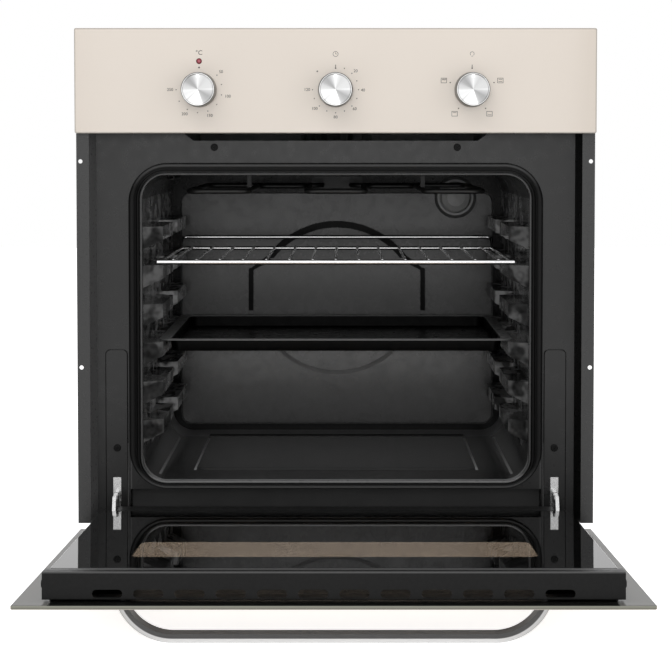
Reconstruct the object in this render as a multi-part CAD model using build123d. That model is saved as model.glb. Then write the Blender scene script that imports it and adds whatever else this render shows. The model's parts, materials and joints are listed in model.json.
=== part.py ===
from build123d import *
import math
import os

# Built-in electric oven with its drop-down door open.
# Millimetres. X runs across, Y from the front to the back and Z up.
# The origin is the middle of the underside of the casing, which rests on the cabinet's shelf.
# Lengths below are given as across (x), depth behind the front plane (d) and height above the
# front's lower edge (h), and are turned into the part's frame by the helpers.

# Overall
FRONT_WIDTH = 595.0
FRONT_HEIGHT = 595.0
BASE_H = 20.0
CASING_INSET = 19.5
CASING_DROP = 7.0
CASING_DEPTH = 510.0
FRAME_D = 40.0
SHEET = 0.8
SEAT_GAP = 0.3
RUN_GAP = 0.06

# Control panel
PANEL_HEIGHT = 119.5
PANEL_GLASS = 4.0
PANEL_CORNER_R = 2.0
GLASS_BEVEL = 0.8
CARRIER_INSET = 0.5
DIAL_PITCH = 155.4
DIAL_DROP = 70.0
SHAFT_R = 3.0
SHAFT_HOLE_R = 4.5
SHAFT_FLAT = 1.0
SHAFT_FRONT = 15.0
SHAFT_BACK = 26.0
KNOB_R = 20.0
KNOB_FACE_R = 19.2
KNOB_LENGTH = 21.0
KNOB_GAP = 1.0
KNOB_DISH_R = 16.8
KNOB_DISH = 0.9
KNOB_WALL = 1.5
MARK_WIDTH = 1.4
MARK_LENGTH = 5.0
MARK_DEPTH = 0.5
LENS_R = 3.0
LENS_RISE = 32.4
LENS_PROUD = 1.2
LENS_LENGTH = 14.0

# Controls behind the panel
THERMOSTAT_WIDTH = 46.0
THERMOSTAT_DEPTH = 34.0
TIMER_R = 27.0
TIMER_DEPTH = 42.0
SWITCH_R = 22.0
SWITCH_DECKS = 3
SWITCH_DECK_DEPTH = 12.0
SWITCH_DECK_GAP = 3.0
CAPILLARY_R = 1.6
CAPILLARY_INSET = 20.0
CAPILLARY_RUN = 55.0
BULB_R = 3.2
BULB_LENGTH = 90.0
BULB_DROP = 6.0

# Front frame, mouth and seal
MOUTH_INSET = 53.0
MOUTH_BOTTOM_H = 70.0
MOUTH_DROP = 51.0
MOUTH_R = 28.0
MOUTH_LIP = 2.6
MOUTH_LIP_PROUD = 4.0
SILL_H = 60.0
SILL_DEPTH = 20.0
FRAME_TUCK = 2.5
LEG_BOTTOM_H = 24.5
LEG_WIDTH = 38.0
COLUMN_WIDTH = 26.1
COLUMN_INSET = 9.3
COLUMN_TOP_H = 224.0
COLUMN_R = 6.0
COLUMN_PROUD = 1.6
NOTCH_INSET = 98.0
NOTCH_SLOPE = 15.0
NOTCH_DEPTH = 11.0
SEAL_PROUD = 7.1
SEAL_WIDTH = 13.0
SEAL_SECTION_R = 3.0
SCREW_R = 4.2
SCREW_HEAD = 2.2
SCREW_SHANK_R = 1.9
SCREW_SHANK = 9.0
DUCT_SCREW_X = 141.0
DUCT_SCREW_DROP = 18.6
COLUMN_SCREW_INSET = 22.8
COLUMN_SCREW_H = 108.6

# Side trims with the cabinet screw holes
TRIM_REACH = 20.0
TRIM_FLANGE = 14.5
TRIM_D = 16.0
TRIM_REAR_TAB = 10.0
CABINET_HOLE_EDGE = 4.7
CABINET_HOLE_LOW_H = 205.5
CABINET_HOLE_PITCH = 237.8
CABINET_HOLE_R = 2.4

# Cavity
CAVITY_BACK_D = 435.0
FLOOR_PAD_INSET = 54.5
FLOOR_PAD_FRONT_D = 112.0
FLOOR_PAD_BACK_D = 362.0
FLOOR_PAD_RISE = 1.5
BACK_PANEL_INSET = 11.0
BACK_PANEL_RAISE = 8.5
BACK_PANEL_DROP = 29.5
BACK_PANEL_R = 14.0
BACK_PANEL_RISE = 3.0
ARCH_R = 114.7
ARCH_CENTRE_RISE = 0.5
ARCH_SHOULDER_X = 92.0
ARCH_LEG_X = 117.5
ARCH_LEG_RISE = 52.0
ARCH_LEG_FALL = 3.5
ARCH_WIDTH = 9.0
ARCH_LEG_WIDTH = 6.5
ARCH_RISE = 2.5
LOW_ARCH_R = 110.0
LOW_ARCH_FALL = 86.5
LOW_ARCH_X = 77.0
LOW_ARCH_WIDTH = 5.0

# Pressed shelf runners on both sides of the cavity
RUNNER_LEVELS = 6
RUNNER_LOWEST_RISE = 69.5
RUNNER_TOP_DROP = 60.5
RUNNER_REACH = 22.0
RUNNER_TIP_HEIGHT = 16.0
RUNNER_ROOT_HEIGHT = 26.0
RUNNER_END_SLOPE = 12.0
RUNNER_SPANS = [(60.0, 190.0), (255.0, 395.0)]

# Rack and tray, on their runner levels counted from the top
RACK_LEVEL = 1
RACK_SIDE_GAP = 15.0
RACK_FRONT_D = 62.0
RACK_REAR_D = 370.0
RACK_STOP_D = 386.0
RACK_STOP_RISE = 14.0
RACK_FRONT_R = 3.0
RACK_RAIL_R = 2.5
RACK_BEND_R = 6.0
RACK_WIRE_R = 1.6
RACK_WIRES = 15
RACK_WIRE_INSET = 18.9
TRAY_LEVEL = 3
TRAY_SIDE_GAP = 15.0
TRAY_FRONT_D = 75.0
TRAY_BACK_D = 405.0
TRAY_RIM = 11.0
TRAY_DEPTH = 15.0
TRAY_WALL = 1.2
TRAY_CORNER_R = 14.0
TRAY_SLOPE_DEG = 12.0

# Heating elements
ELEMENT_R = 3.3
ELEMENT_BEND_R = 18.0
ELEMENT_END_D = 448.0
GRILL_DROP = 20.0
GRILL_GAPS = 5
GRILL_INSET = 50.0
GRILL_FRONT_D = 95.0
GRILL_INNER_BACK_D = 360.0
GRILL_OUTER_BACK_D = 400.0
GRILL_TERMINAL_X = 20.0
GRILL_BEND_R = 14.0
GRILL_PLATE_WIDTH = 70.0
GRILL_PLATE_HEIGHT = 22.0
BOTTOM_LOOP_INSET = 60.0
BOTTOM_FRONT_D = 110.0
BOTTOM_BACK_D = 395.0
ELEMENT_HANGER_WIDTH = 5.0
ELEMENT_HANGER_BACK = 40.0

# Lamp in the back wall
LAMP_INSET = 63.0
LAMP_DROP = 37.0
LAMP_RING_R = 28.4
LAMP_CUP_R = 23.5
LAMP_CUP_WALL = 1.6
LAMP_CUP_DEPTH = 46.0
LAMP_DOME = 13.0
LAMP_GLASS = 2.0
BULB_GLASS_R = 11.0
BULB_CAP_R = 6.5
SOCKET_DEPTH = 18.0

# Insulation, duct and cooling fan
INSULATION_INSET = 22.0
INSULATION_BOTTOM_H = 38.0
INSULATION_DROP = 6.5
INSULATION_REAR = 26.0
INSULATION_FLOOR_H = 58.0
DUCT_DROP = 15.0
DUCT_LIP = 9.0
FAN_D = 430.0
FAN_R = 78.0
FAN_HEIGHT = 43.0
FAN_INLET_R = 34.0
FAN_WALL = 1.8
FAN_THROAT_X = 46.0
FAN_THROAT = 12.0
IMPELLER_R = 62.0
IMPELLER_HEIGHT = 26.0
IMPELLER_BLADES = 18
IMPELLER_BLADE = 14.0
IMPELLER_PITCH_DEG = 35.0
IMPELLER_HUB_R = 10.0
MOTOR_R = 30.0
MOTOR_HEIGHT = 46.0
MOTOR_LEGS = 3

# Rear terminal box and cable gland
TERMINAL_INSET = 88.0
TERMINAL_WIDTH = 84.0
TERMINAL_HEIGHT = 62.0
TERMINAL_DEPTH = 26.0
TERMINAL_DROP = 56.0
GLAND_R = 11.0
GLAND_BORE_R = 5.0
GLAND_LENGTH = 22.0
REAR_VENT_ROWS = 6
REAR_VENT_PITCH = 12.0
REAR_VENT_WIDTH = 120.0
REAR_VENT_HEIGHT = 4.0
REAR_VENT_DROP = 30.0
SIDE_VENT_BACK = 180.0
SIDE_VENT_DROP = 20.0
SIDE_VENT_LENGTH = 50.0
REAR_SCREW_INSET = 40.0
REAR_FLANGE = 14.0

# Door, measured closed
DOOR_BOTTOM_H = 2.0
DOOR_GAP = 3.5
DOOR_OPEN_DEG = 87.0
HINGE_D = 9.0
HINGE_H = 21.5
INNER_GLASS_INSET = 31.2
INNER_FACE_D = 32.5
INNER_GLASS = 4.0
INNER_GLASS_BOTTOM_H = 58.0
INNER_GLASS_DROP = 34.4
TOP_PROFILE_INSET = 26.9
TOP_PROFILE_DROP = 15.0
PROFILE_FRONT_D = 6.5
PROFILE_WALL = 1.8
SLOTS = 12
SLOT_ROW_INSET = 60.6
SLOT_LENGTH = 28.0
SLOT_WIDTH = 8.0
SLOT_D = 12.0
SIDE_LIP = 10.0
BOTTOM_PROFILE_H = 16.0
BUFFER_R = 4.2
BUFFER_PROUD = 1.9
BUFFER_D = 20.0
BUFFER_DROP = 25.0

# Handle
HANDLE_DROP = 42.0
HANDLE_STANDOFF = 33.3
HANDLE_THICKNESS = 9.3
HANDLE_WIDTH = 20.0
HANDLE_BEND_R = 52.5
HANDLE_STRAIGHT_X = 151.0
HANDLE_OUTER_FILLET = 5.0
HANDLE_SCREW_R = 2.0
HANDLE_SCREW_HEAD_R = 4.0
HANDLE_SCREW_HEAD = 2.6
HANDLE_SCREW_REACH = 8.0
HANDLE_SCREW_INSET = 1.9

# Hinges
ARM_INSET = 22.0
ARM_THICKNESS = 4.0
ARM_EYE_R = 4.6
ARM_RISE_H = 56.0
ARM_LOW_H = 38.0
ARM_REAR_D = 84.0
ARM_HOOK = 9.0
PIN_R = 3.0
CHANNEL_INNER_REACH = 6.0
CHANNEL_OUTER_REACH = 8.0
CHANNEL_WALL = 1.4
CHANNEL_FRONT_D = 5.0
CHANNEL_BACK_D = 26.0
CHANNEL_BOTTOM_H = 12.0
CHANNEL_TOP_H = 250.0
CHANNEL_CAP = 8.0
SPRING_R = 4.5
SPRING_BOTTOM_H = 100.0
SPRING_D = 16.0
TONGUE_INNER_REACH = 5.0
TONGUE_OUTER_REACH = 4.0
TONGUE_BOTTOM_H = 30.0
TONGUE_TOP_H = 74.0
TONGUE_PROUD = 1.8
RECEIVER_INNER_REACH = 10.0
RECEIVER_OUTER_REACH = 8.0
RECEIVER_DEPTH = 52.0
RECEIVER_WALL = 1.6
LATCH_THICKNESS = 1.6
LATCH_D = 21.0
LATCH_H = 50.0
LATCH_PIN_R = 1.6
LATCH_HALF = 5.0
LATCH_FOOT = 4.0
LATCH_SHOULDER = 3.0
LATCH_SLOPE = 1.0
LATCH_RISE = 7.0
LATCH_BACK = 9.0
LATCH_TIP = 11.0
LATCH_TIP_RISE = 2.0
LATCH_EDGE_R = 1.2

# Worked out from the sizes above
CASING_WIDTH = FRONT_WIDTH - 2 * CASING_INSET
CASING_HALF = CASING_WIDTH / 2
CASING_TOP_H = FRONT_HEIGHT - CASING_DROP
CASING_HEIGHT = CASING_TOP_H - BASE_H
CASING_FRONT_D = FRAME_D + 2 * SHEET
CASING_BACK_D = FRAME_D + CASING_DEPTH
FRONT_Y = -(FRAME_D + CASING_BACK_D) / 2
PANEL_BOTTOM_H = FRONT_HEIGHT - PANEL_HEIGHT
DIAL_H = FRONT_HEIGHT - DIAL_DROP
DIALS = {"temperature": -DIAL_PITCH, "timer": 0.0, "function": DIAL_PITCH}
FRAME_TOP_H = PANEL_BOTTOM_H + FRAME_TUCK
FRAME_BACK_D = FRAME_D + SHEET
CARRIER_BACK_D = FRAME_BACK_D
MOUTH_HALF = CASING_HALF - MOUTH_INSET
MOUTH_TOP_H = FRAME_TOP_H - MOUTH_DROP
LEG_INNER_X = CASING_HALF - LEG_WIDTH
COLUMN_OUTER_X = CASING_HALF - COLUMN_INSET
COLUMN_INNER_X = COLUMN_OUTER_X - COLUMN_WIDTH
COLUMN_SCREW_X = CASING_HALF - COLUMN_SCREW_INSET
NOTCH_TOP_X = CASING_HALF - NOTCH_INSET
NOTCH_BOTTOM_X = NOTCH_TOP_X - NOTCH_SLOPE
NOTCH_BOTTOM_H = FRAME_TOP_H - NOTCH_DEPTH
DUCT_SCREW_H = FRAME_TOP_H - DUCT_SCREW_DROP
TRIM_OUTER_X = CASING_HALF + TRIM_REACH
TRIM_INNER_X = TRIM_OUTER_X - TRIM_FLANGE
CABINET_HOLE_X = TRIM_OUTER_X - CABINET_HOLE_EDGE
CAPILLARY_X = CAPILLARY_INSET - MOUTH_HALF
BULB_H = MOUTH_TOP_H - BULB_DROP
FLOOR_PAD_X = MOUTH_HALF - FLOOR_PAD_INSET
BACK_PANEL_X = MOUTH_HALF - BACK_PANEL_INSET
BACK_PANEL_BOTTOM_H = MOUTH_BOTTOM_H + BACK_PANEL_RAISE
BACK_PANEL_TOP_H = MOUTH_TOP_H - BACK_PANEL_DROP
ARCH_CENTRE_H = (BACK_PANEL_BOTTOM_H + BACK_PANEL_TOP_H) / 2 + ARCH_CENTRE_RISE
ARCH_LEG_TOP_H = ARCH_CENTRE_H + ARCH_LEG_RISE
ARCH_LEG_BOTTOM_H = ARCH_CENTRE_H - ARCH_LEG_FALL
LOW_ARCH_BOTTOM_H = ARCH_CENTRE_H - LOW_ARCH_FALL
RUNNER_TOP_H = MOUTH_TOP_H - RUNNER_TOP_DROP
RUNNER_PITCH = (RUNNER_TOP_H - MOUTH_BOTTOM_H - RUNNER_LOWEST_RISE) / (RUNNER_LEVELS - 1)
RUNNER_TIP_X = MOUTH_HALF - RUNNER_REACH
RACK_LEDGE_H = RUNNER_TOP_H - RACK_LEVEL * RUNNER_PITCH
RACK_HALF = MOUTH_HALF - RACK_SIDE_GAP
RACK_WIRE_PITCH = 2 * (RACK_HALF - RACK_WIRE_INSET) / (RACK_WIRES - 1)
TRAY_LEDGE_H = RUNNER_TOP_H - TRAY_LEVEL * RUNNER_PITCH
TRAY_HALF = MOUTH_HALF - TRAY_SIDE_GAP
GRILL_H = MOUTH_TOP_H - GRILL_DROP
GRILL_PITCH = 2 * (MOUTH_HALF - GRILL_INSET) / GRILL_GAPS
BOTTOM_LOOP_X = MOUTH_HALF - BOTTOM_LOOP_INSET
LAMP_X = MOUTH_HALF - LAMP_INSET
LAMP_H = MOUTH_TOP_H - LAMP_DROP
DUCT_FLOOR_H = FRAME_TOP_H - DUCT_DROP
DUCT_TOP_H = FRAME_TOP_H
DUCT_END_D = FAN_D - FAN_R - FAN_THROAT
FAN_TOP_H = DUCT_FLOOR_H + FAN_HEIGHT
INSULATION_X = CASING_HALF - INSULATION_INSET
INSULATION_TOP_H = DUCT_FLOOR_H - INSULATION_DROP
INSULATION_FRONT_D = FRAME_D + 5 * SHEET
TERMINAL_X = CASING_HALF - TERMINAL_INSET
TERMINAL_BOTTOM_H = CASING_TOP_H - TERMINAL_DROP - TERMINAL_HEIGHT
DOOR_TOP_H = PANEL_BOTTOM_H - DOOR_GAP
DOOR_HALF = FRONT_WIDTH / 2
INNER_HALF = DOOR_HALF - INNER_GLASS_INSET
INNER_GLASS_TOP_H = DOOR_TOP_H - INNER_GLASS_DROP
TOP_PROFILE_HALF = DOOR_HALF - TOP_PROFILE_INSET
TOP_PROFILE_TOP_H = DOOR_TOP_H - TOP_PROFILE_DROP
SLOT_PITCH = 2 * (TOP_PROFILE_HALF - SLOT_ROW_INSET) / (SLOTS - 1)
BUFFER_H = DOOR_TOP_H - BUFFER_DROP
HANDLE_H = DOOR_TOP_H - HANDLE_DROP
ARM_X = CASING_HALF - ARM_INSET
CHANNEL_INNER_X = ARM_X - CHANNEL_INNER_REACH
CHANNEL_OUTER_X = ARM_X + CHANNEL_OUTER_REACH
TONGUE_INNER_X = ARM_X - TONGUE_INNER_REACH
TONGUE_OUTER_X = ARM_X + TONGUE_OUTER_REACH
RECEIVER_INNER_X = ARM_X - RECEIVER_INNER_REACH
RECEIVER_OUTER_X = ARM_X + RECEIVER_OUTER_REACH
HINGE_AXIS = Axis((0, FRONT_Y + HINGE_D, HINGE_H - BASE_H), (1, 0, 0))


def block(x0, x1, d0, d1, h0, h1):
    """A box between two corners."""
    centre = Pos((x0 + x1) / 2, FRONT_Y + (d0 + d1) / 2, (h0 + h1) / 2 - BASE_H)
    return centre * Box(x1 - x0, d1 - d0, h1 - h0)


def rect(x0, x1, y0, y1):
    """A rectangle between two corners."""
    return Pos((x0 + x1) / 2, (y0 + y1) / 2) * Rectangle(x1 - x0, y1 - y0)


def rounded(x0, x1, y0, y1, radius):
    """A rectangle between two corners, its four corners rounded."""
    return Pos((x0 + x1) / 2, (y0 + y1) / 2) * RectangleRounded(x1 - x0, y1 - y0, radius)


def outline(*points):
    """A closed straight-sided outline."""
    return make_face(Polyline(*points, close=True))


def slab(sketch, d0, d1):
    """An outline seen from the front, x across and y height, made solid between two depths."""
    plane = Plane(origin=(0, FRONT_Y + d1, -BASE_H), x_dir=(1, 0, 0), z_dir=(0, -1, 0))
    return extrude(plane * sketch, d1 - d0)


def side_slab(sketch, x0, x1):
    """An outline seen from the side, x depth and y height, made solid between two places across."""
    plane = Plane(origin=(x0, FRONT_Y, -BASE_H), x_dir=(0, 1, 0), z_dir=(1, 0, 0))
    return extrude(plane * sketch, x1 - x0)


def flat_slab(sketch, h0, h1):
    """An outline seen from above, x across and y depth, made solid between two heights."""
    plane = Plane(origin=(0, FRONT_Y, h0 - BASE_H), x_dir=(1, 0, 0), z_dir=(0, 0, 1))
    return extrude(plane * sketch, h1 - h0)


def disc(x, h, radius, d0, d1):
    """A round bar along the depth."""
    return slab(Pos(x, h) * Circle(radius), d0, d1)


def cross_bar(d, h, radius, x0, x1):
    """A round bar running across."""
    return side_slab(Pos(d, h) * Circle(radius), x0, x1)


def post(x, d, radius, h0, h1):
    """An upright round bar."""
    return flat_slab(Pos(x, d) * Circle(radius), h0, h1)


def turned(x, h, *points):
    """A turned piece about a line along the depth, from points of radius and depth."""
    plane = Plane(origin=(x, FRONT_Y, h - BASE_H), x_dir=(1, 0, 0), z_dir=(0, 0, 1))
    return revolve(plane * outline(*points), Axis((x, FRONT_Y, h - BASE_H), (0, 1, 0)))


def tube_path(radius, bend, h, points):
    """A bent tube lying level at one height, through points seen from above."""
    path = FilletPolyline(*[(x, FRONT_Y + d, h - BASE_H) for x, d in points], radius=bend)
    return sweep((path ^ 0) * Circle(radius), path)


def both_sides(make):
    """The left and right copies of a piece that is made on the right."""
    right = make()
    return {"left": mirror(right, about=Plane.YZ), "right": right}


def opened(shape):
    """A door piece, made closed, swung down to the open door."""
    return shape.rotate(HINGE_AXIS, DOOR_OPEN_DEG)


def group(pieces):
    """Identical loose pieces kept together."""
    return Compound(children=list(pieces))


def write(name, shape):
    export_step(shape, f"parts/{name}.step")


# Control panel and its controls


def fascia_glass():
    half = FRONT_WIDTH / 2
    panel = slab(rounded(-half, half, PANEL_BOTTOM_H, FRONT_HEIGHT, PANEL_CORNER_R), 0, PANEL_GLASS)
    front = panel.faces().sort_by(Axis.Y)[0]
    panel = chamfer(front.outer_wire().edges(), GLASS_BEVEL)
    for x in DIALS.values():
        panel -= disc(x, DIAL_H, SHAFT_HOLE_R, 0, PANEL_GLASS)
    lens_x = DIALS["temperature"]
    return panel - disc(lens_x, DIAL_H + LENS_RISE, LENS_R + SEAT_GAP, 0, PANEL_GLASS)


def fascia_carrier():
    """Steel tray behind the panel glass, open to the back."""
    half = CASING_HALF - CARRIER_INSET
    tray = block(-half, half, PANEL_GLASS, CARRIER_BACK_D, FRAME_TOP_H, CASING_TOP_H)
    tray -= block(
        -half + SHEET,
        half - SHEET,
        PANEL_GLASS + SHEET,
        CARRIER_BACK_D,
        FRAME_TOP_H + SHEET,
        CASING_TOP_H - SHEET,
    )
    for x in DIALS.values():
        tray -= disc(x, DIAL_H, SHAFT_HOLE_R, PANEL_GLASS, PANEL_GLASS + SHEET)
    lens_x = DIALS["temperature"]
    hole = disc(lens_x, DIAL_H + LENS_RISE, LENS_R + SEAT_GAP, PANEL_GLASS, PANEL_GLASS + SHEET)
    return tray - hole


def pilot_lamp():
    x = DIALS["temperature"]
    lens = turned(
        x,
        DIAL_H + LENS_RISE,
        (0, -LENS_PROUD),
        (LENS_R * 0.7, -LENS_PROUD * 0.8),
        (LENS_R, 0),
        (LENS_R, LENS_LENGTH),
        (0, LENS_LENGTH),
    )
    collar_d = PANEL_GLASS + SHEET
    return lens + disc(x, DIAL_H + LENS_RISE, LENS_R + 2 * SHEET, collar_d, collar_d + 2 * SHEET)


def shaft(x):
    """Control shaft with a flat on top where the knob sits."""
    bar = disc(x, DIAL_H, SHAFT_R, -SHAFT_FRONT, SHAFT_BACK)
    flat_h = DIAL_H + SHAFT_R - SHAFT_FLAT
    return bar - block(x - SHAFT_R, x + SHAFT_R, -SHAFT_FRONT, -KNOB_GAP, flat_h, flat_h + SHAFT_FLAT)


def shaft_bore(x):
    """Blind running hole of a control body."""
    front = PANEL_GLASS + SHEET
    return disc(x, DIAL_H, SHAFT_R + RUN_GAP, front, SHAFT_BACK + SEAT_GAP)


def knob(x):
    """Spun metal knob with a dished face and a pointer mark at the top."""
    front = -(KNOB_LENGTH + KNOB_GAP)
    body = turned(
        x,
        DIAL_H,
        (0, front + KNOB_DISH),
        (KNOB_DISH_R, front + KNOB_DISH),
        (KNOB_DISH_R + KNOB_DISH, front),
        (KNOB_FACE_R - KNOB_DISH, front),
        (KNOB_FACE_R, front + KNOB_DISH),
        (KNOB_R, -KNOB_GAP - KNOB_WALL),
        (KNOB_R, -KNOB_GAP),
        (0, -KNOB_GAP),
    )
    bore = disc(x, DIAL_H, SHAFT_R + RUN_GAP, -SHAFT_FRONT - SEAT_GAP, -KNOB_GAP)
    flat_h = DIAL_H + SHAFT_R - SHAFT_FLAT + RUN_GAP
    bore -= block(x - KNOB_R, x + KNOB_R, -SHAFT_FRONT - SEAT_GAP, -KNOB_GAP, flat_h, flat_h + SHAFT_R)
    mark_top = DIAL_H + KNOB_DISH_R
    half = MARK_WIDTH / 2
    bottom = front + KNOB_DISH + MARK_DEPTH
    return body - bore - block(x - half, x + half, front, bottom, mark_top - MARK_LENGTH, mark_top)


def thermostat():
    x = DIALS["temperature"]
    half = THERMOSTAT_WIDTH / 2
    front = PANEL_GLASS + SHEET
    body = block(x - half, x + half, front, front + THERMOSTAT_DEPTH, DIAL_H - half, DIAL_H + half)
    body = fillet(body.edges().filter_by(Axis.Y), 2 * SHEET)
    cell = disc(x, DIAL_H, half * 0.7, front + THERMOSTAT_DEPTH, front + THERMOSTAT_DEPTH + 4 * SHEET)
    return body + cell - shaft_bore(x)


def capillary_points():
    """Route of the capillary from the back of the thermostat to the cavity's side, from above."""
    start = PANEL_GLASS + SHEET + THERMOSTAT_DEPTH + 4 * SHEET
    x = DIALS["temperature"]
    bend = start + CAPILLARY_RUN
    return [(x, start), (x, bend), (CAPILLARY_X, bend + CAPILLARY_RUN)]


def thermostat_bulb():
    """Capillary tube and sensing bulb: level behind the thermostat, down through the ceiling, level again."""
    start, bend, drop = [(x, FRONT_Y + d) for x, d in capillary_points()]
    high = DIAL_H - BASE_H
    low = BULB_H - BASE_H
    end_y = drop[1] + CAPILLARY_RUN
    path = FilletPolyline(
        (*start, high),
        (*bend, high),
        (*drop, high),
        (*drop, low),
        (drop[0], end_y, low),
        radius=3 * CAPILLARY_R,
    )
    tube = sweep((path ^ 0) * Circle(CAPILLARY_R), path)
    end_d = end_y - FRONT_Y
    return tube + disc(drop[0], BULB_H, BULB_R, end_d - CAPILLARY_R, end_d + BULB_LENGTH)


def capillary_hole(h0, h1):
    """Clearance hole for the capillary through a level sheet."""
    x, d = capillary_points()[-1]
    return post(x, d, CAPILLARY_R + SEAT_GAP, h0, h1)


def timer():
    front = PANEL_GLASS + SHEET
    case = disc(0, DIAL_H, TIMER_R, front, front + TIMER_DEPTH)
    case += disc(0, DIAL_H, TIMER_R * 0.6, front, front + TIMER_DEPTH + 4 * SHEET)
    return case - shaft_bore(0)


def function_switch():
    """Rotary switch: decks on a common core."""
    x = DIALS["function"]
    start = PANEL_GLASS + SHEET
    length = SWITCH_DECKS * SWITCH_DECK_DEPTH + (SWITCH_DECKS - 1) * SWITCH_DECK_GAP
    body = disc(x, DIAL_H, SWITCH_R * 0.6, start, start + length)
    for deck in range(SWITCH_DECKS):
        d = start + deck * (SWITCH_DECK_DEPTH + SWITCH_DECK_GAP)
        body += disc(x, DIAL_H, SWITCH_R, d, d + SWITCH_DECK_DEPTH)
    return body - shaft_bore(x)


# Front frame, trims and seal


def mouth(grow):
    """Outline of the cavity mouth, grown outward."""
    return rounded(
        -MOUTH_HALF - grow,
        MOUTH_HALF + grow,
        MOUTH_BOTTOM_H - grow,
        MOUTH_TOP_H + grow,
        MOUTH_R + grow,
    )


def tongue_slot():
    """Slot in a hinge column for the receiver's tongue."""
    return rect(
        TONGUE_INNER_X - SEAT_GAP,
        TONGUE_OUTER_X + SEAT_GAP,
        TONGUE_BOTTOM_H - SEAT_GAP,
        TONGUE_TOP_H + SEAT_GAP,
    )


def column():
    """Raised hinge column of the right side, with its slot and screw hole."""
    shape = rounded(COLUMN_INNER_X, COLUMN_OUTER_X, LEG_BOTTOM_H - COLUMN_R, COLUMN_TOP_H, COLUMN_R)
    shape -= rect(COLUMN_INNER_X, COLUMN_OUTER_X, LEG_BOTTOM_H - COLUMN_R, LEG_BOTTOM_H)
    pad = slab(shape, FRAME_D - COLUMN_PROUD, FRAME_D)
    front = pad.faces().sort_by(Axis.Y)[0]
    return chamfer(front.outer_wire().edges(), COLUMN_PROUD * 0.6)


def front_frame():
    """Enamelled sheet with the mouth, the air-outlet notch, two legs with hinge columns and a sill."""
    face = rect(-CASING_HALF, CASING_HALF, SILL_H, FRAME_TOP_H)
    face += rect(-CASING_HALF, -LEG_INNER_X, LEG_BOTTOM_H, SILL_H)
    face += rect(LEG_INNER_X, CASING_HALF, LEG_BOTTOM_H, SILL_H)
    face -= mouth(0)
    face -= outline(
        (-NOTCH_TOP_X, FRAME_TOP_H),
        (-NOTCH_BOTTOM_X, NOTCH_BOTTOM_H),
        (NOTCH_BOTTOM_X, NOTCH_BOTTOM_H),
        (NOTCH_TOP_X, FRAME_TOP_H),
    )
    frame = slab(face, FRAME_D, FRAME_BACK_D)
    columns = both_sides(column)
    frame += columns["left"] + columns["right"]
    lip = slab(mouth(MOUTH_LIP) - mouth(0), FRAME_D - MOUTH_LIP_PROUD, FRAME_BACK_D)
    rim = lip.faces().sort_by(Axis.Y)[0].edges()
    frame += fillet(rim, MOUTH_LIP * 0.4)
    frame += block(-LEG_INNER_X, LEG_INNER_X, FRAME_D, FRAME_D + SILL_DEPTH, SILL_H, SILL_H + SHEET)
    cut = slab(tongue_slot(), FRAME_D - COLUMN_PROUD, FRAME_BACK_D)
    for x, h in frame_screw_places():
        frame -= disc(x, h, SCREW_SHANK_R + SEAT_GAP, FRAME_D - COLUMN_PROUD, FRAME_BACK_D)
    return frame - cut - mirror(cut, about=Plane.YZ)


def frame_screw_places():
    """Across and height of the frame's four screws, the column pair last."""
    return [
        (-DUCT_SCREW_X, DUCT_SCREW_H),
        (DUCT_SCREW_X, DUCT_SCREW_H),
        (-COLUMN_SCREW_X, COLUMN_SCREW_H),
        (COLUMN_SCREW_X, COLUMN_SCREW_H),
    ]


def casing_screw(x, h, seat_d):
    head = disc(x, h, SCREW_R, seat_d - SCREW_HEAD, seat_d)
    front = head.faces().sort_by(Axis.Y)[0]
    head = fillet(front.edges(), SCREW_HEAD * 0.5)
    shank = disc(x, h, SCREW_SHANK_R, seat_d, seat_d + SCREW_SHANK)
    half = SCREW_R * 0.5
    slot = SCREW_HEAD * 0.25
    cross = block(x - half, x + half, seat_d - SCREW_HEAD, seat_d - slot, h - slot, h + slot)
    cross += block(x - slot, x + slot, seat_d - SCREW_HEAD, seat_d - slot, h - half, h + half)
    return head + shank - cross


def casing_screws():
    """The four screws of the front frame and the six of the rear sheet, all alike."""
    duct = frame_screw_places()[:2]
    columns = frame_screw_places()[2:]
    screws = [casing_screw(x, h, FRAME_D) for x, h in duct]
    screws += [casing_screw(x, h, FRAME_D - COLUMN_PROUD) for x, h in columns]
    for x, h in rear_screw_places():
        turned_round = Pos(0, 2 * (FRONT_Y + CASING_BACK_D), 0) * mirror(
            casing_screw(x, h, CASING_BACK_D), about=Plane.XZ
        )
        screws.append(turned_round)
    return group(screws)


def side_trim():
    """Cabinet flange of the right side, its sloped return and the tab behind the frame."""
    back = FRAME_BACK_D + SHEET
    profile = outline(
        (TRIM_OUTER_X, TRIM_D),
        (TRIM_INNER_X, TRIM_D),
        (CASING_HALF, FRAME_D),
        (CASING_HALF, FRAME_BACK_D),
        (CASING_HALF - TRIM_REAR_TAB, FRAME_BACK_D),
        (CASING_HALF - TRIM_REAR_TAB, back),
        (CASING_HALF + SHEET, back),
        (CASING_HALF + SHEET, FRAME_D),
        (TRIM_INNER_X + SHEET, TRIM_D + SHEET),
        (TRIM_OUTER_X, TRIM_D + SHEET),
    )
    trim = flat_slab(profile, LEG_BOTTOM_H, FRAME_TOP_H)
    for level in range(2):
        h = CABINET_HOLE_LOW_H + level * CABINET_HOLE_PITCH
        trim -= disc(CABINET_HOLE_X, h, CABINET_HOLE_R, TRIM_D, TRIM_D + SHEET)
    return trim


def door_gasket():
    """Rubber seal seated on the frame round the mouth lip, its front edges rounded."""
    inner = MOUTH_LIP + SEAT_GAP
    ring = slab(mouth(inner + SEAL_WIDTH) - mouth(inner), FRAME_D - SEAL_PROUD, FRAME_D)
    low = block(-CASING_HALF, CASING_HALF, 0, FRAME_D, 0, SILL_H + SEAT_GAP)
    ring = fillet(ring.faces().sort_by(Axis.Y)[0].edges(), SEAL_SECTION_R)
    return ring - low


# Cavity


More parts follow.
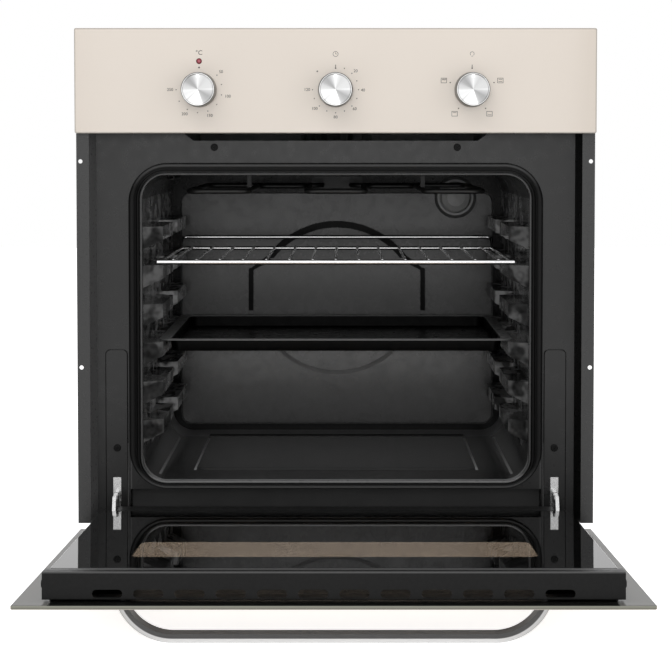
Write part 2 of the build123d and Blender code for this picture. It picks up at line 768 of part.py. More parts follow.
def cavity_shell():
    return slab(mouth(SHEET) - mouth(0), FRAME_BACK_D, CAVITY_BACK_D)


def cavity_floor():
    wide = MOUTH_HALF + 2 * SHEET
    floor = cavity_shell() & block(
        -wide, wide, FRAME_BACK_D, CAVITY_BACK_D, MOUTH_BOTTOM_H - 2 * SHEET, MOUTH_BOTTOM_H + MOUTH_R
    )
    pad = block(
        -FLOOR_PAD_X,
        FLOOR_PAD_X,
        FLOOR_PAD_FRONT_D,
        FLOOR_PAD_BACK_D,
        MOUTH_BOTTOM_H,
        MOUTH_BOTTOM_H + FLOOR_PAD_RISE,
    )
    pad = fillet(pad.edges().filter_by(Axis.Z), BACK_PANEL_R)
    pad = chamfer(pad.faces().sort_by(Axis.Z)[-1].edges(), FLOOR_PAD_RISE * 0.8)
    return floor + pad


def cavity_ceiling():
    """Ceiling with two hangers for the grill element."""
    wide = MOUTH_HALF + 2 * SHEET
    ceiling = cavity_shell() & block(
        -wide, wide, FRAME_BACK_D, CAVITY_BACK_D, MOUTH_TOP_H - MOUTH_R, MOUTH_TOP_H + 2 * SHEET
    )
    half = ELEMENT_HANGER_WIDTH / 2
    for side in (-1, 1):
        x = side * GRILL_PITCH * 1.5
        seat_h = GRILL_H + ELEMENT_R + SEAT_GAP
        front = GRILL_FRONT_D + ELEMENT_HANGER_BACK
        ceiling += block(x - half, x + half, front, front + ELEMENT_HANGER_WIDTH, seat_h, MOUTH_TOP_H)
    return ceiling - capillary_hole(MOUTH_TOP_H - MOUTH_R, MOUTH_TOP_H + 2 * SHEET)


def runner(d0, d1, top_h, inward):
    """One shelf runner of the right side, flat on top, sloped below and at both ends, its faces moved inward."""
    high = top_h - inward
    front = d0 + inward
    back = d1 - inward
    root_low = top_h - RUNNER_ROOT_HEIGHT + inward
    root = rect(front - RUNNER_END_SLOPE, back + RUNNER_END_SLOPE, root_low, high)
    tip = rect(front, back, top_h - RUNNER_TIP_HEIGHT + inward, high)
    sections = []
    for x, sketch in ((RUNNER_TIP_X + inward, tip), (MOUTH_HALF + inward, root)):
        plane = Plane(origin=(x, FRONT_Y, -BASE_H), x_dir=(0, 1, 0), z_dir=(1, 0, 0))
        sections.append(plane * sketch)
    return loft(sections, ruled=True)


def cavity_side():
    """Right side of the cavity between the rounded corners, with its runners pressed into the sheet."""
    wall = block(
        MOUTH_HALF,
        MOUTH_HALF + SHEET,
        FRAME_BACK_D,
        CAVITY_BACK_D,
        MOUTH_BOTTOM_H + MOUTH_R,
        MOUTH_TOP_H - MOUTH_R,
    )
    for level in range(RUNNER_LEVELS):
        top_h = RUNNER_TOP_H - level * RUNNER_PITCH
        for d0, d1 in RUNNER_SPANS:
            wall += runner(d0, d1, top_h, 0)
            wall -= runner(d0, d1, top_h, SHEET)
    return wall


def back_arches():
    """Outlines of the pressed arches on the back wall."""
    outer = ARCH_R + ARCH_WIDTH / 2
    inner = ARCH_R - ARCH_WIDTH / 2
    drop = math.sqrt(ARCH_R**2 - ARCH_SHOULDER_X**2)
    shoulder_h = ARCH_CENTRE_H + drop
    ring = Pos(0, ARCH_CENTRE_H) * (Circle(outer) - Circle(inner))
    arch = ring & rect(-outer, outer, shoulder_h, ARCH_CENTRE_H + outer)
    half = ARCH_LEG_WIDTH / 2
    for side in (-1, 1):
        leg_x = side * ARCH_LEG_X
        shoulder_x = side * ARCH_SHOULDER_X
        arch += rect(leg_x - half, leg_x + half, ARCH_LEG_BOTTOM_H, ARCH_LEG_TOP_H)
        arch += Pos(leg_x, ARCH_LEG_TOP_H) * Circle(half)
        arch += outline(
            (leg_x - side * half, ARCH_LEG_TOP_H),
            (leg_x + side * half, ARCH_LEG_TOP_H),
            (shoulder_x + side * half, shoulder_h + half),
            (shoulder_x - side * half, shoulder_h - half),
        )
    low_centre = LOW_ARCH_BOTTOM_H + LOW_ARCH_R
    low_outer = LOW_ARCH_R + LOW_ARCH_WIDTH
    low_ring = Pos(0, low_centre) * (Circle(low_outer) - Circle(LOW_ARCH_R))
    low_top = low_centre - math.sqrt(LOW_ARCH_R**2 - LOW_ARCH_X**2)
    low_arch = low_ring & rect(-LOW_ARCH_X, LOW_ARCH_X, low_centre - low_outer, low_top)
    return arch, low_arch


def cavity_back():
    """Back wall: sheet, pressed panel, arches, and holes for the lamp and the grill terminals."""
    wall = slab(mouth(SHEET), CAVITY_BACK_D, CAVITY_BACK_D + SHEET)
    panel = slab(
        rounded(-BACK_PANEL_X, BACK_PANEL_X, BACK_PANEL_BOTTOM_H, BACK_PANEL_TOP_H, BACK_PANEL_R),
        CAVITY_BACK_D - BACK_PANEL_RISE,
        CAVITY_BACK_D,
    )
    panel = chamfer(panel.faces().sort_by(Axis.Y)[0].edges(), BACK_PANEL_RISE * 0.8)
    wall += panel
    face_d = CAVITY_BACK_D - BACK_PANEL_RISE
    inset = BACK_PANEL_X - BACK_PANEL_RISE
    hollow = rounded(
        -inset,
        inset,
        BACK_PANEL_BOTTOM_H + BACK_PANEL_RISE,
        BACK_PANEL_TOP_H - BACK_PANEL_RISE,
        BACK_PANEL_R - BACK_PANEL_RISE,
    )
    wall -= slab(hollow, face_d + SHEET, CAVITY_BACK_D + SHEET)
    for arch in back_arches():
        wall += slab(arch, face_d - ARCH_RISE, face_d)
    wall -= disc(LAMP_X, LAMP_H, LAMP_CUP_R + SEAT_GAP, face_d - ARCH_RISE, CAVITY_BACK_D + SHEET)
    for side in (-1, 1):
        x = side * GRILL_TERMINAL_X
        wall -= disc(x, GRILL_H, ELEMENT_R + SEAT_GAP, face_d - ARCH_RISE, CAVITY_BACK_D + SHEET)
    return wall


# Heating elements


def grill_element():
    """Serpentine tube under the ceiling on a plate that is screwed to the back wall."""
    columns = [GRILL_PITCH * (k - GRILL_GAPS / 2) for k in range(GRILL_GAPS + 1)]
    half = [
        (-GRILL_TERMINAL_X, ELEMENT_END_D),
        (-GRILL_TERMINAL_X, GRILL_OUTER_BACK_D),
        (columns[0], GRILL_OUTER_BACK_D),
        (columns[0], GRILL_FRONT_D),
        (columns[1], GRILL_FRONT_D),
        (columns[1], GRILL_INNER_BACK_D),
        (columns[2], GRILL_INNER_BACK_D),
        (columns[2], GRILL_FRONT_D),
    ]
    route = half + [(-x, d) for x, d in reversed(half)]
    tube = tube_path(ELEMENT_R, GRILL_BEND_R, GRILL_H, route)
    plate_d = CAVITY_BACK_D - SHEET
    high = GRILL_H + GRILL_PLATE_HEIGHT / 2
    low = BACK_PANEL_TOP_H + SEAT_GAP
    return tube + block(
        -GRILL_PLATE_WIDTH / 2, GRILL_PLATE_WIDTH / 2, plate_d, CAVITY_BACK_D, low, high
    )


def bottom_element_h():
    return MOUTH_BOTTOM_H - SHEET - SEAT_GAP - ELEMENT_R


def bottom_element():
    """Loop tube close under the cavity floor."""
    half = [
        (-GRILL_TERMINAL_X, ELEMENT_END_D),
        (-GRILL_TERMINAL_X, BOTTOM_BACK_D),
        (-BOTTOM_LOOP_X, BOTTOM_BACK_D),
        (-BOTTOM_LOOP_X, BOTTOM_FRONT_D),
    ]
    route = half + [(-x, d) for x, d in reversed(half)]
    return tube_path(ELEMENT_R, ELEMENT_BEND_R, bottom_element_h(), route)


# Lamp


def lamp_holder():
    """Cup through the back wall with a bezel ring on the cavity side and a socket inside."""
    ring_back = CAVITY_BACK_D - BACK_PANEL_RISE
    ring_front = ring_back - 2 * SHEET
    back = ring_front + LAMP_CUP_DEPTH
    cup = disc(LAMP_X, LAMP_H, LAMP_CUP_R, ring_front, back)
    ring = disc(LAMP_X, LAMP_H, LAMP_RING_R, ring_front, ring_back)
    ring = fillet(ring.faces().sort_by(Axis.Y)[0].edges(), SHEET)
    cup += ring
    cup -= disc(LAMP_X, LAMP_H, LAMP_CUP_R - LAMP_CUP_WALL, ring_front, back - LAMP_CUP_WALL)
    socket = disc(LAMP_X, LAMP_H, BULB_CAP_R + 2 * LAMP_CUP_WALL, back - SOCKET_DEPTH, back)
    bore = disc(LAMP_X, LAMP_H, BULB_CAP_R + SEAT_GAP, back - SOCKET_DEPTH, back - LAMP_CUP_WALL)
    return cup + socket - bore


def lamp_cover():
    """Domed glass screwed into the cup."""
    ring_front = CAVITY_BACK_D - BACK_PANEL_RISE - 2 * SHEET
    radius = LAMP_CUP_R - LAMP_CUP_WALL - SEAT_GAP
    front = ring_front - LAMP_DOME
    skirt = ring_front + 5 * SHEET
    return turned(
        LAMP_X,
        LAMP_H,
        (0, front),
        (radius * 0.55, front + LAMP_DOME * 0.12),
        (radius * 0.86, front + LAMP_DOME * 0.42),
        (radius, ring_front),
        (radius, skirt),
        (radius - LAMP_GLASS, skirt),
        (radius - LAMP_GLASS, ring_front),
        (radius * 0.86 - LAMP_GLASS, front + LAMP_DOME * 0.42 + LAMP_GLASS),
        (radius * 0.55 - LAMP_GLASS, front + LAMP_DOME * 0.12 + LAMP_GLASS),
        (0, front + LAMP_GLASS),
    )


def lamp_bulb():
    back = CAVITY_BACK_D - BACK_PANEL_RISE - 2 * SHEET + LAMP_CUP_DEPTH - LAMP_CUP_WALL - SEAT_GAP
    shoulder = back - SOCKET_DEPTH - LAMP_GLASS
    front = shoulder - 2.2 * BULB_GLASS_R
    return turned(
        LAMP_X,
        LAMP_H,
        (0, front),
        (BULB_GLASS_R * 0.7, front + BULB_GLASS_R * 0.35),
        (BULB_GLASS_R, front + BULB_GLASS_R),
        (BULB_GLASS_R * 0.8, front + BULB_GLASS_R * 1.7),
        (BULB_CAP_R, shoulder),
        (BULB_CAP_R, back),
        (0, back),
    )


# Insulation and casing


def insulation():
    """Blanket round the four sides of the cavity and behind it."""
    rear = CAVITY_BACK_D + SHEET + SEAT_GAP
    outer = block(
        -INSULATION_X,
        INSULATION_X,
        INSULATION_FRONT_D,
        rear + INSULATION_REAR,
        INSULATION_BOTTOM_H,
        INSULATION_TOP_H,
    )
    outer -= block(
        -INSULATION_X,
        INSULATION_X,
        INSULATION_FRONT_D,
        FRAME_D + SILL_DEPTH + SEAT_GAP,
        INSULATION_BOTTOM_H,
        SILL_H + SHEET + SEAT_GAP,
    )
    cavity = slab(mouth(SHEET + SEAT_GAP), CASING_FRONT_D, rear)
    under = block(
        -MOUTH_HALF,
        MOUTH_HALF,
        CASING_FRONT_D,
        rear,
        INSULATION_FLOOR_H,
        MOUTH_BOTTOM_H + MOUTH_R,
    )
    wrap = outer - cavity - under
    for h in (GRILL_H, bottom_element_h()):
        for side in (-1, 1):
            wrap -= disc(side * GRILL_TERMINAL_X, h, 2 * ELEMENT_R, rear, rear + INSULATION_REAR)
    wrap -= disc(LAMP_X, LAMP_H, LAMP_CUP_R + SEAT_GAP, rear, rear + INSULATION_REAR)
    receiver = block(
        RECEIVER_INNER_X - SHEET,
        RECEIVER_OUTER_X + SHEET,
        CASING_FRONT_D,
        FRAME_BACK_D + RECEIVER_DEPTH + SHEET,
        INSULATION_BOTTOM_H,
        TONGUE_TOP_H + 4 * SHEET,
    )
    wrap -= receiver + mirror(receiver, about=Plane.YZ)
    for x, h in frame_screw_places()[2:]:
        wrap -= disc(x, h, 2 * SCREW_SHANK_R, CASING_FRONT_D, FRAME_D + 2 * SCREW_SHANK)
    return wrap - capillary_hole(MOUTH_TOP_H - MOUTH_R, INSULATION_TOP_H)


def casing_base():
    """Bottom sheet with a front upstand under the sill and low side and rear returns."""
    back = CASING_BACK_D - 3 * SHEET
    base = block(-CASING_HALF, CASING_HALF, CASING_FRONT_D, CASING_BACK_D, BASE_H, BASE_H + SHEET)
    sill_d = FRAME_D + SILL_DEPTH
    base += block(-LEG_INNER_X, LEG_INNER_X, sill_d - SHEET, sill_d, BASE_H, SILL_H)
    for side in (-1, 1):
        x = side * (CASING_HALF - 1.5 * SHEET)
        half = SHEET / 2
        base += block(x - half, x + half, CASING_FRONT_D, back, BASE_H, BASE_H + 10 * SHEET)
    return base


def casing_side():
    """Right side sheet with a row of vent slots near the top."""
    side = block(
        CASING_HALF - SHEET,
        CASING_HALF,
        CASING_FRONT_D,
        CASING_BACK_D,
        BASE_H + SHEET,
        CASING_TOP_H - SHEET,
    )
    for k in range(REAR_VENT_ROWS):
        d = CASING_BACK_D - SIDE_VENT_BACK + k * 2 * REAR_VENT_PITCH
        side -= block(
            CASING_HALF - SHEET,
            CASING_HALF,
            d,
            d + REAR_VENT_HEIGHT,
            CASING_TOP_H - SIDE_VENT_DROP - SIDE_VENT_LENGTH,
            CASING_TOP_H - SIDE_VENT_DROP,
        )
    flange_back = CASING_BACK_D - SHEET
    side += block(
        CASING_HALF - REAR_FLANGE,
        CASING_HALF - SHEET,
        flange_back - SHEET,
        flange_back,
        BASE_H + SHEET,
        CASING_TOP_H - SHEET,
    )
    for x, h in rear_screw_places():
        side -= disc(x, h, SCREW_SHANK_R + SEAT_GAP, flange_back - SHEET, flange_back)
    return side


def casing_rear():
    """Rear sheet with vent slots and the cable entry behind the terminal box."""
    half = CASING_HALF - SHEET
    front = CASING_BACK_D - SHEET
    rear = block(-half, half, front, CASING_BACK_D, BASE_H + SHEET, CASING_TOP_H - SHEET)
    for k in range(REAR_VENT_ROWS):
        h = CASING_TOP_H - REAR_VENT_DROP - k * REAR_VENT_PITCH
        for x in (-REAR_VENT_WIDTH, 0):
            reach = REAR_VENT_WIDTH * 0.4
            rear -= block(x - reach, x + reach, front, CASING_BACK_D, h - REAR_VENT_HEIGHT, h)
    for x, h in rear_screw_places():
        rear -= disc(x, h, SCREW_SHANK_R + SEAT_GAP, front, CASING_BACK_D)
    entry_h = TERMINAL_BOTTOM_H + TERMINAL_HEIGHT / 2
    return rear - disc(TERMINAL_X, entry_h, GLAND_R, front, CASING_BACK_D)


def casing_top():
    return block(
        -CASING_HALF, CASING_HALF, CARRIER_BACK_D, CASING_BACK_D, CASING_TOP_H - SHEET, CASING_TOP_H
    )


def rear_screw_places():
    """Across and height of the screws that hold the rear sheet to its flanges."""
    across = CASING_HALF - REAR_FLANGE / 2
    rows = [BASE_H + REAR_SCREW_INSET, BASE_H + CASING_HEIGHT / 2, CASING_TOP_H - REAR_SCREW_INSET]
    return [(side * across, h) for side in (-1, 1) for h in rows]


# Cooling duct and fan


def air_duct():
    """Divider above the insulation with the duct from the fan to the front notch."""
    front = CASING_FRONT_D + SEAT_GAP
    back = CASING_BACK_D - 2 * SHEET - SEAT_GAP
    half = CASING_HALF - SHEET - SEAT_GAP
    duct = block(-half, half, front, back, DUCT_FLOOR_H - SHEET, DUCT_FLOOR_H)
    duct += block(-half, half, front, front + SHEET, DUCT_FLOOR_H - DUCT_LIP, DUCT_FLOOR_H)
    wide = NOTCH_TOP_X + SHEET
    duct += block(-wide, wide, front, DUCT_END_D, DUCT_FLOOR_H, DUCT_TOP_H)
    duct -= block(
        -wide + SHEET, wide - SHEET, front, DUCT_END_D - SHEET, DUCT_FLOOR_H, DUCT_TOP_H - SHEET
    )
    duct -= block(
        -FAN_THROAT_X, FAN_THROAT_X, front, DUCT_END_D, DUCT_FLOOR_H, DUCT_TOP_H - SHEET
    )
    for x, h in frame_screw_places()[:2]:
        duct -= disc(x, h, SCREW_SHANK_R + SEAT_GAP, front, front + SHEET)
    return duct - capillary_hole(DUCT_FLOOR_H - SHEET, DUCT_TOP_H)


def fan_housing():
    """Round housing on the divider with a throat to the duct and an inlet in its cover."""
    wall = FAN_WALL
    low = DUCT_FLOOR_H
    shell = post(0, FAN_D, FAN_R, low, FAN_TOP_H)
    throat_x = FAN_THROAT_X + wall
    shell += block(-throat_x, throat_x, DUCT_END_D, FAN_D, low, DUCT_TOP_H)
    shell -= post(0, FAN_D, FAN_R - wall, low + wall, FAN_TOP_H - wall)
    shell -= post(0, FAN_D, FAN_INLET_R, FAN_TOP_H - wall, FAN_TOP_H)
    return shell - block(
        -FAN_THROAT_X, FAN_THROAT_X, DUCT_END_D, FAN_D, low + wall, DUCT_TOP_H - SHEET
    )


def fan_impeller():
    """Hub, base disc, radial blades and the shaft up into the motor."""
    low = DUCT_FLOOR_H + 4 * SHEET
    wheel = post(0, FAN_D, IMPELLER_R, low, low + SHEET)
    wheel += post(0, FAN_D, IMPELLER_HUB_R, low, low + IMPELLER_HEIGHT)
    centre_y = FRONT_Y + FAN_D
    middle = IMPELLER_R - IMPELLER_BLADE / 2
    blade = Pos(middle, 0, low - BASE_H + IMPELLER_HEIGHT / 2) * (
        Rot(0, 0, IMPELLER_PITCH_DEG) * Box(IMPELLER_BLADE, SHEET, IMPELLER_HEIGHT)
    )
    for k in range(IMPELLER_BLADES):
        wheel += Pos(0, centre_y, 0) * (Rot(0, 0, k * 360 / IMPELLER_BLADES) * blade)
    return wheel + post(0, FAN_D, SHAFT_R, low, FAN_TOP_H + MOTOR_HEIGHT / 2)


def fan_motor():
    """Motor standing on the housing's cover on three legs over the inlet."""
    gap = 8 * SHEET
    low = FAN_TOP_H + gap
    motor = post(0, FAN_D, MOTOR_R, low, low + MOTOR_HEIGHT)
    motor = fillet(motor.faces().sort_by(Axis.Z)[-1].edges(), 3 * SHEET)
    centre = Pos(0, FRONT_Y + FAN_D, 0)
    reach = FAN_INLET_R + 8 * SHEET
    leg = Pos(reach / 2, 0, low - BASE_H + SHEET) * Box(reach, 8 * SHEET, 2 * SHEET)
    foot = Pos(reach - SHEET, 0, FAN_TOP_H - BASE_H + gap / 2 + SHEET) * Box(
        2 * SHEET, 8 * SHEET, gap + 2 * SHEET
    )
    for k in range(MOTOR_LEGS):
        motor += centre * (Rot(0, 0, 90 + k * 360 / MOTOR_LEGS) * (leg + foot))
    bore_top = FAN_TOP_H + MOTOR_HEIGHT / 2 + SEAT_GAP
    return motor - post(0, FAN_D, SHAFT_R + RUN_GAP, FAN_TOP_H, bore_top)


# Mains connection


def terminal_box():
    half = TERMINAL_WIDTH / 2
    top = TERMINAL_BOTTOM_H + TERMINAL_HEIGHT
    back = CASING_BACK_D + TERMINAL_DEPTH
    box = block(TERMINAL_X - half, TERMINAL_X + half, CASING_BACK_D, back, TERMINAL_BOTTOM_H, top)
    box = fillet(box.faces().sort_by(Axis.Y)[-1].edges(), 3 * SHEET)
    box -= block(
        TERMINAL_X - half + 2 * SHEET,
        TERMINAL_X + half - 2 * SHEET,
        CASING_BACK_D,
        back - 2 * SHEET,
        TERMINAL_BOTTOM_H + 2 * SHEET,
        top - 2 * SHEET,
    )
    gland_d = CASING_BACK_D + TERMINAL_DEPTH / 2
    return box - post(TERMINAL_X, gland_d, GLAND_R * 0.7, TERMINAL_BOTTOM_H, TERMINAL_BOTTOM_H + 2 * SHEET)


def cable_gland():
    """Gland under the terminal box: hexagon, neck and bore for the mains cable."""
    d = CASING_BACK_D + TERMINAL_DEPTH / 2
    nut = RegularPolygon(GLAND_R, 6)
    low = TERMINAL_BOTTOM_H - GLAND_LENGTH
    gland = flat_slab(Pos(TERMINAL_X, d) * nut, TERMINAL_BOTTOM_H - GLAND_LENGTH * 0.4, TERMINAL_BOTTOM_H)
    gland += post(TERMINAL_X, d, GLAND_R * 0.8, low, TERMINAL_BOTTOM_H)
    neck_top = TERMINAL_BOTTOM_H + 2 * SHEET
    gland += post(TERMINAL_X, d, GLAND_R * 0.7 - SEAT_GAP, TERMINAL_BOTTOM_H, neck_top)
    return gland - post(TERMINAL_X, d, GLAND_BORE_R, low, neck_top)


# Hinges on the oven's side


def arm_slot(d0, d1):
    """Clearance for the hinge arm through a sheet."""
    half = ARM_THICKNESS / 2 + SEAT_GAP
    return block(ARM_X - half, ARM_X + half, d0, d1, ARM_LOW_H - SEAT_GAP, ARM_RISE_H + SEAT_GAP)


def hinge_receiver():
    """Bracket behind the right column: front plate, tongue in the column's slot and a box for the arm."""
    tongue_front = FRAME_D - TONGUE_PROUD
    back = FRAME_BACK_D + RECEIVER_DEPTH
    body = block(
        RECEIVER_INNER_X,
        RECEIVER_OUTER_X,
        FRAME_BACK_D,
        back,
        TONGUE_BOTTOM_H - RECEIVER_WALL,
        TONGUE_TOP_H + RECEIVER_WALL,
    )
    body -= block(
        RECEIVER_INNER_X + RECEIVER_WALL,
        RECEIVER_OUTER_X - RECEIVER_WALL,
        FRAME_BACK_D + RECEIVER_WALL,
        back - RECEIVER_WALL,
        TONGUE_BOTTOM_H,
        TONGUE_TOP_H,
    )
    body += block(
        TONGUE_INNER_X, TONGUE_OUTER_X, tongue_front, FRAME_BACK_D, TONGUE_BOTTOM_H, TONGUE_TOP_H
    )
    seat_low = ARM_LOW_H - SEAT_GAP
    body += block(
        RECEIVER_INNER_X + RECEIVER_WALL,
        RECEIVER_OUTER_X - RECEIVER_WALL,
        back - 3 * RECEIVER_WALL,
        back - RECEIVER_WALL,
        TONGUE_BOTTOM_H,
        seat_low,
    )
    return body - arm_slot(tongue_front, FRAME_BACK_D + RECEIVER_WALL)


def hinge_arm():
    """Flat steel arm from the receiver down to the door's pin, with the latch pin on its inner face."""
    shape = outline(
        (HINGE_D - ARM_EYE_R / 2, HINGE_H),
        (HINGE_D + ARM_EYE_R, HINGE_H - ARM_EYE_R / 2),
        (FRAME_D - TONGUE_PROUD - ARM_THICKNESS, ARM_LOW_H),
        (ARM_REAR_D, ARM_LOW_H),
        (ARM_REAR_D, ARM_RISE_H),
        (HINGE_D + ARM_EYE_R, ARM_RISE_H),
        (HINGE_D - ARM_EYE_R / 2, (HINGE_H + ARM_RISE_H) / 2),
    )
    shape += Pos(HINGE_D, HINGE_H) * Circle(ARM_EYE_R)
    shape -= Pos(HINGE_D, HINGE_H) * Circle(PIN_R + RUN_GAP)
    half = ARM_THICKNESS / 2
    arm = side_slab(shape, ARM_X - half, ARM_X + half)
    arm -= block(
        ARM_X - half,
        ARM_X + half,
        FRAME_BACK_D + RECEIVER_WALL + SEAT_GAP,
        ARM_REAR_D - ARM_HOOK,
        ARM_LOW_H,
        ARM_LOW_H + ARM_HOOK / 2,
    )
    return arm + cross_bar(LATCH_D, LATCH_H, LATCH_PIN_R, ARM_X - half - LATCH_THICKNESS - SEAT_GAP, ARM_X)


def hinge_latch():
    """Small hooked lever on the arm's inner face that locks the hinge when the door is lifted off."""
    shape = outline(
        (LATCH_D - LATCH_HALF, LATCH_H - LATCH_FOOT),
        (LATCH_D + LATCH_HALF, LATCH_H - LATCH_FOOT),
        (LATCH_D + LATCH_HALF, LATCH_H + LATCH_SHOULDER),
        (LATCH_D + LATCH_SLOPE, LATCH_H + LATCH_RISE),
        (LATCH_D - LATCH_BACK, LATCH_H + LATCH_RISE),
        (LATCH_D - LATCH_TIP, LATCH_H + LATCH_TIP_RISE),
        (LATCH_D - LATCH_RISE, LATCH_H + LATCH_TIP_RISE),
    )
    shape = fillet(shape.vertices(), LATCH_EDGE_R)
    shape -= Pos(LATCH_D, LATCH_H) * Circle(LATCH_PIN_R + RUN_GAP)
    outer = ARM_X - ARM_THICKNESS / 2 - SEAT_GAP
    return side_slab(shape, outer - LATCH_THICKNESS, outer)


# Door, made closed


def door_outer_glass():
    outline_sketch = rounded(-DOOR_HALF, DOOR_HALF, DOOR_BOTTOM_H, DOOR_TOP_H, PANEL_CORNER_R)
    pane = slab(outline_sketch, 0, PANEL_GLASS)
    for face in (0, -1):
        edges = pane.faces().sort_by(Axis.Y)[face].outer_wire().edges()
        pane = chamfer(edges, GLASS_BEVEL)
    for x in handle_screw_places():
        pane -= disc(x, HANDLE_H, HANDLE_SCREW_R + SEAT_GAP, 0, PANEL_GLASS)
    return pane


def door_inner_glass():
    back = INNER_FACE_D
    pane = slab(
        rounded(-INNER_HALF, INNER_HALF, INNER_GLASS_BOTTOM_H, INNER_GLASS_TOP_H, 2 * PANEL_CORNER_R),
        back - INNER_GLASS,
        back,
    )
    return chamfer(pane.faces().sort_by(Axis.Y)[-1].outer_wire().edges(), GLASS_BEVEL)


def door_top_profile():
    """Hollow profile over the door's upper end with a row of rounded air slots."""
    low = INNER_GLASS_TOP_H + SEAT_GAP
    profile = block(
        -TOP_PROFILE_HALF, TOP_PROFILE_HALF, PROFILE_FRONT_D, INNER_FACE_D, low, TOP_PROFILE_TOP_H
    )
    profile = fillet(profile.edges().filter_by(Axis.X), PROFILE_WALL * 0.5)
    profile -= block(
        -TOP_PROFILE_HALF + PROFILE_WALL,
        TOP_PROFILE_HALF - PROFILE_WALL,
        PROFILE_FRONT_D + PROFILE_WALL,
        INNER_FACE_D - PROFILE_WALL,
        low - PROFILE_WALL,
        TOP_PROFILE_TOP_H - PROFILE_WALL,
    )
    for k in range(SLOTS):
        x = (k - (SLOTS - 1) / 2) * SLOT_PITCH
        slot = Pos(x, SLOT_D) * SlotOverall(SLOT_LENGTH, SLOT_WIDTH)
        profile -= flat_slab(slot, TOP_PROFILE_TOP_H - 2 * PROFILE_WALL, TOP_PROFILE_TOP_H)
    return profile


def door_side_profile():
    """Right side strip between the two panes, with a lip under the inner glass."""
    face_d = INNER_FACE_D - INNER_GLASS
    low = BOTTOM_PROFILE_H
    top = INNER_GLASS_TOP_H
    strip = block(INNER_HALF - PROFILE_WALL, INNER_HALF, PANEL_GLASS, face_d, low, top)
    lip_low = INNER_GLASS_BOTTOM_H
    lip = block(INNER_HALF - SIDE_LIP, INNER_HALF, face_d - PROFILE_WALL, face_d, lip_low, top)
    return strip + lip


def door_bottom_profile():
    """Channel between the hinges that carries the lower edge of the inner glass."""
    half = CHANNEL_INNER_X - 2 * SEAT_GAP
    top = INNER_GLASS_BOTTOM_H - SEAT_GAP
    channel = block(-half, half, PANEL_GLASS, INNER_FACE_D, BOTTOM_PROFILE_H, top)
    channel = fillet(channel.faces().sort_by(Axis.Y)[-1].edges().filter_by(Axis.X), 2 * PROFILE_WALL)
    return channel - block(
        -half + PROFILE_WALL,
        half - PROFILE_WALL,
        PANEL_GLASS,
        INNER_FACE_D - PROFILE_WALL,
        BOTTOM_PROFILE_H + PROFILE_WALL,
        top - PROFILE_WALL,
    )


def door_buffers():
    """Two small round buffers on the ends of the top profile."""
    button = cross_bar(BUFFER_D, BUFFER_H, BUFFER_R, TOP_PROFILE_HALF, TOP_PROFILE_HALF + BUFFER_PROUD)
    button = fillet(button.faces().sort_by(Axis.X)[-1].edges(), BUFFER_PROUD * 0.6)
    return group([button, mirror(button, about=Plane.YZ)])


def hinge_channel():
    """Steel channel in the right side of the door: pin, web cut out round the arm, spring rest and cap."""
    body = block(
        CHANNEL_INNER_X,
        CHANNEL_OUTER_X,
        CHANNEL_FRONT_D,
        CHANNEL_BACK_D,
        CHANNEL_BOTTOM_H,
        CHANNEL_TOP_H,
    )
    body -= block(
        CHANNEL_INNER_X + CHANNEL_WALL,
        CHANNEL_OUTER_X - CHANNEL_WALL,
        CHANNEL_FRONT_D + CHANNEL_WALL,
        CHANNEL_BACK_D,
        CHANNEL_BOTTOM_H,
        CHANNEL_TOP_H - CHANNEL_CAP,
    )
    body -= block(
        CHANNEL_INNER_X + CHANNEL_WALL,
        CHANNEL_OUTER_X - CHANNEL_WALL,
        CHANNEL_FRONT_D,
        CHANNEL_FRONT_D + CHANNEL_WALL,
        CHANNEL_BOTTOM_H,
        HINGE_H + 2 * ARM_EYE_R,
    )
    rest = block(
        CHANNEL_INNER_X + CHANNEL_WALL,
        CHANNEL_OUTER_X - CHANNEL_WALL,
        CHANNEL_FRONT_D + CHANNEL_WALL,
        CHANNEL_BACK_D,
        SPRING_BOTTOM_H - 2 * CHANNEL_WALL,
        SPRING_BOTTOM_H,
    )
    return body + rest + cross_bar(HINGE_D, HINGE_H, PIN_R, CHANNEL_INNER_X, CHANNEL_OUTER_X)


def hinge_spring():
    """Counterbalance spring, a plain sleeve between the channel's rest and its cap."""
    top = CHANNEL_TOP_H - CHANNEL_CAP
    spring = post(ARM_X, SPRING_D, SPRING_R, SPRING_BOTTOM_H, top)
    return spring - post(ARM_X, SPRING_D, SPRING_R / 2, SPRING_BOTTOM_H, top)


def handle_end():
    """How far across each bend meets the glass."""
    angle = math.acos(1 - HANDLE_STANDOFF / HANDLE_BEND_R)
    return HANDLE_STRAIGHT_X + HANDLE_BEND_R * math.sin(angle)


def handle_screw_places():
    """Screws a little inside the ends, so that they stay in the leaning bar."""
    end = handle_end()
    return [-end + HANDLE_SCREW_INSET, end - HANDLE_SCREW_INSET]


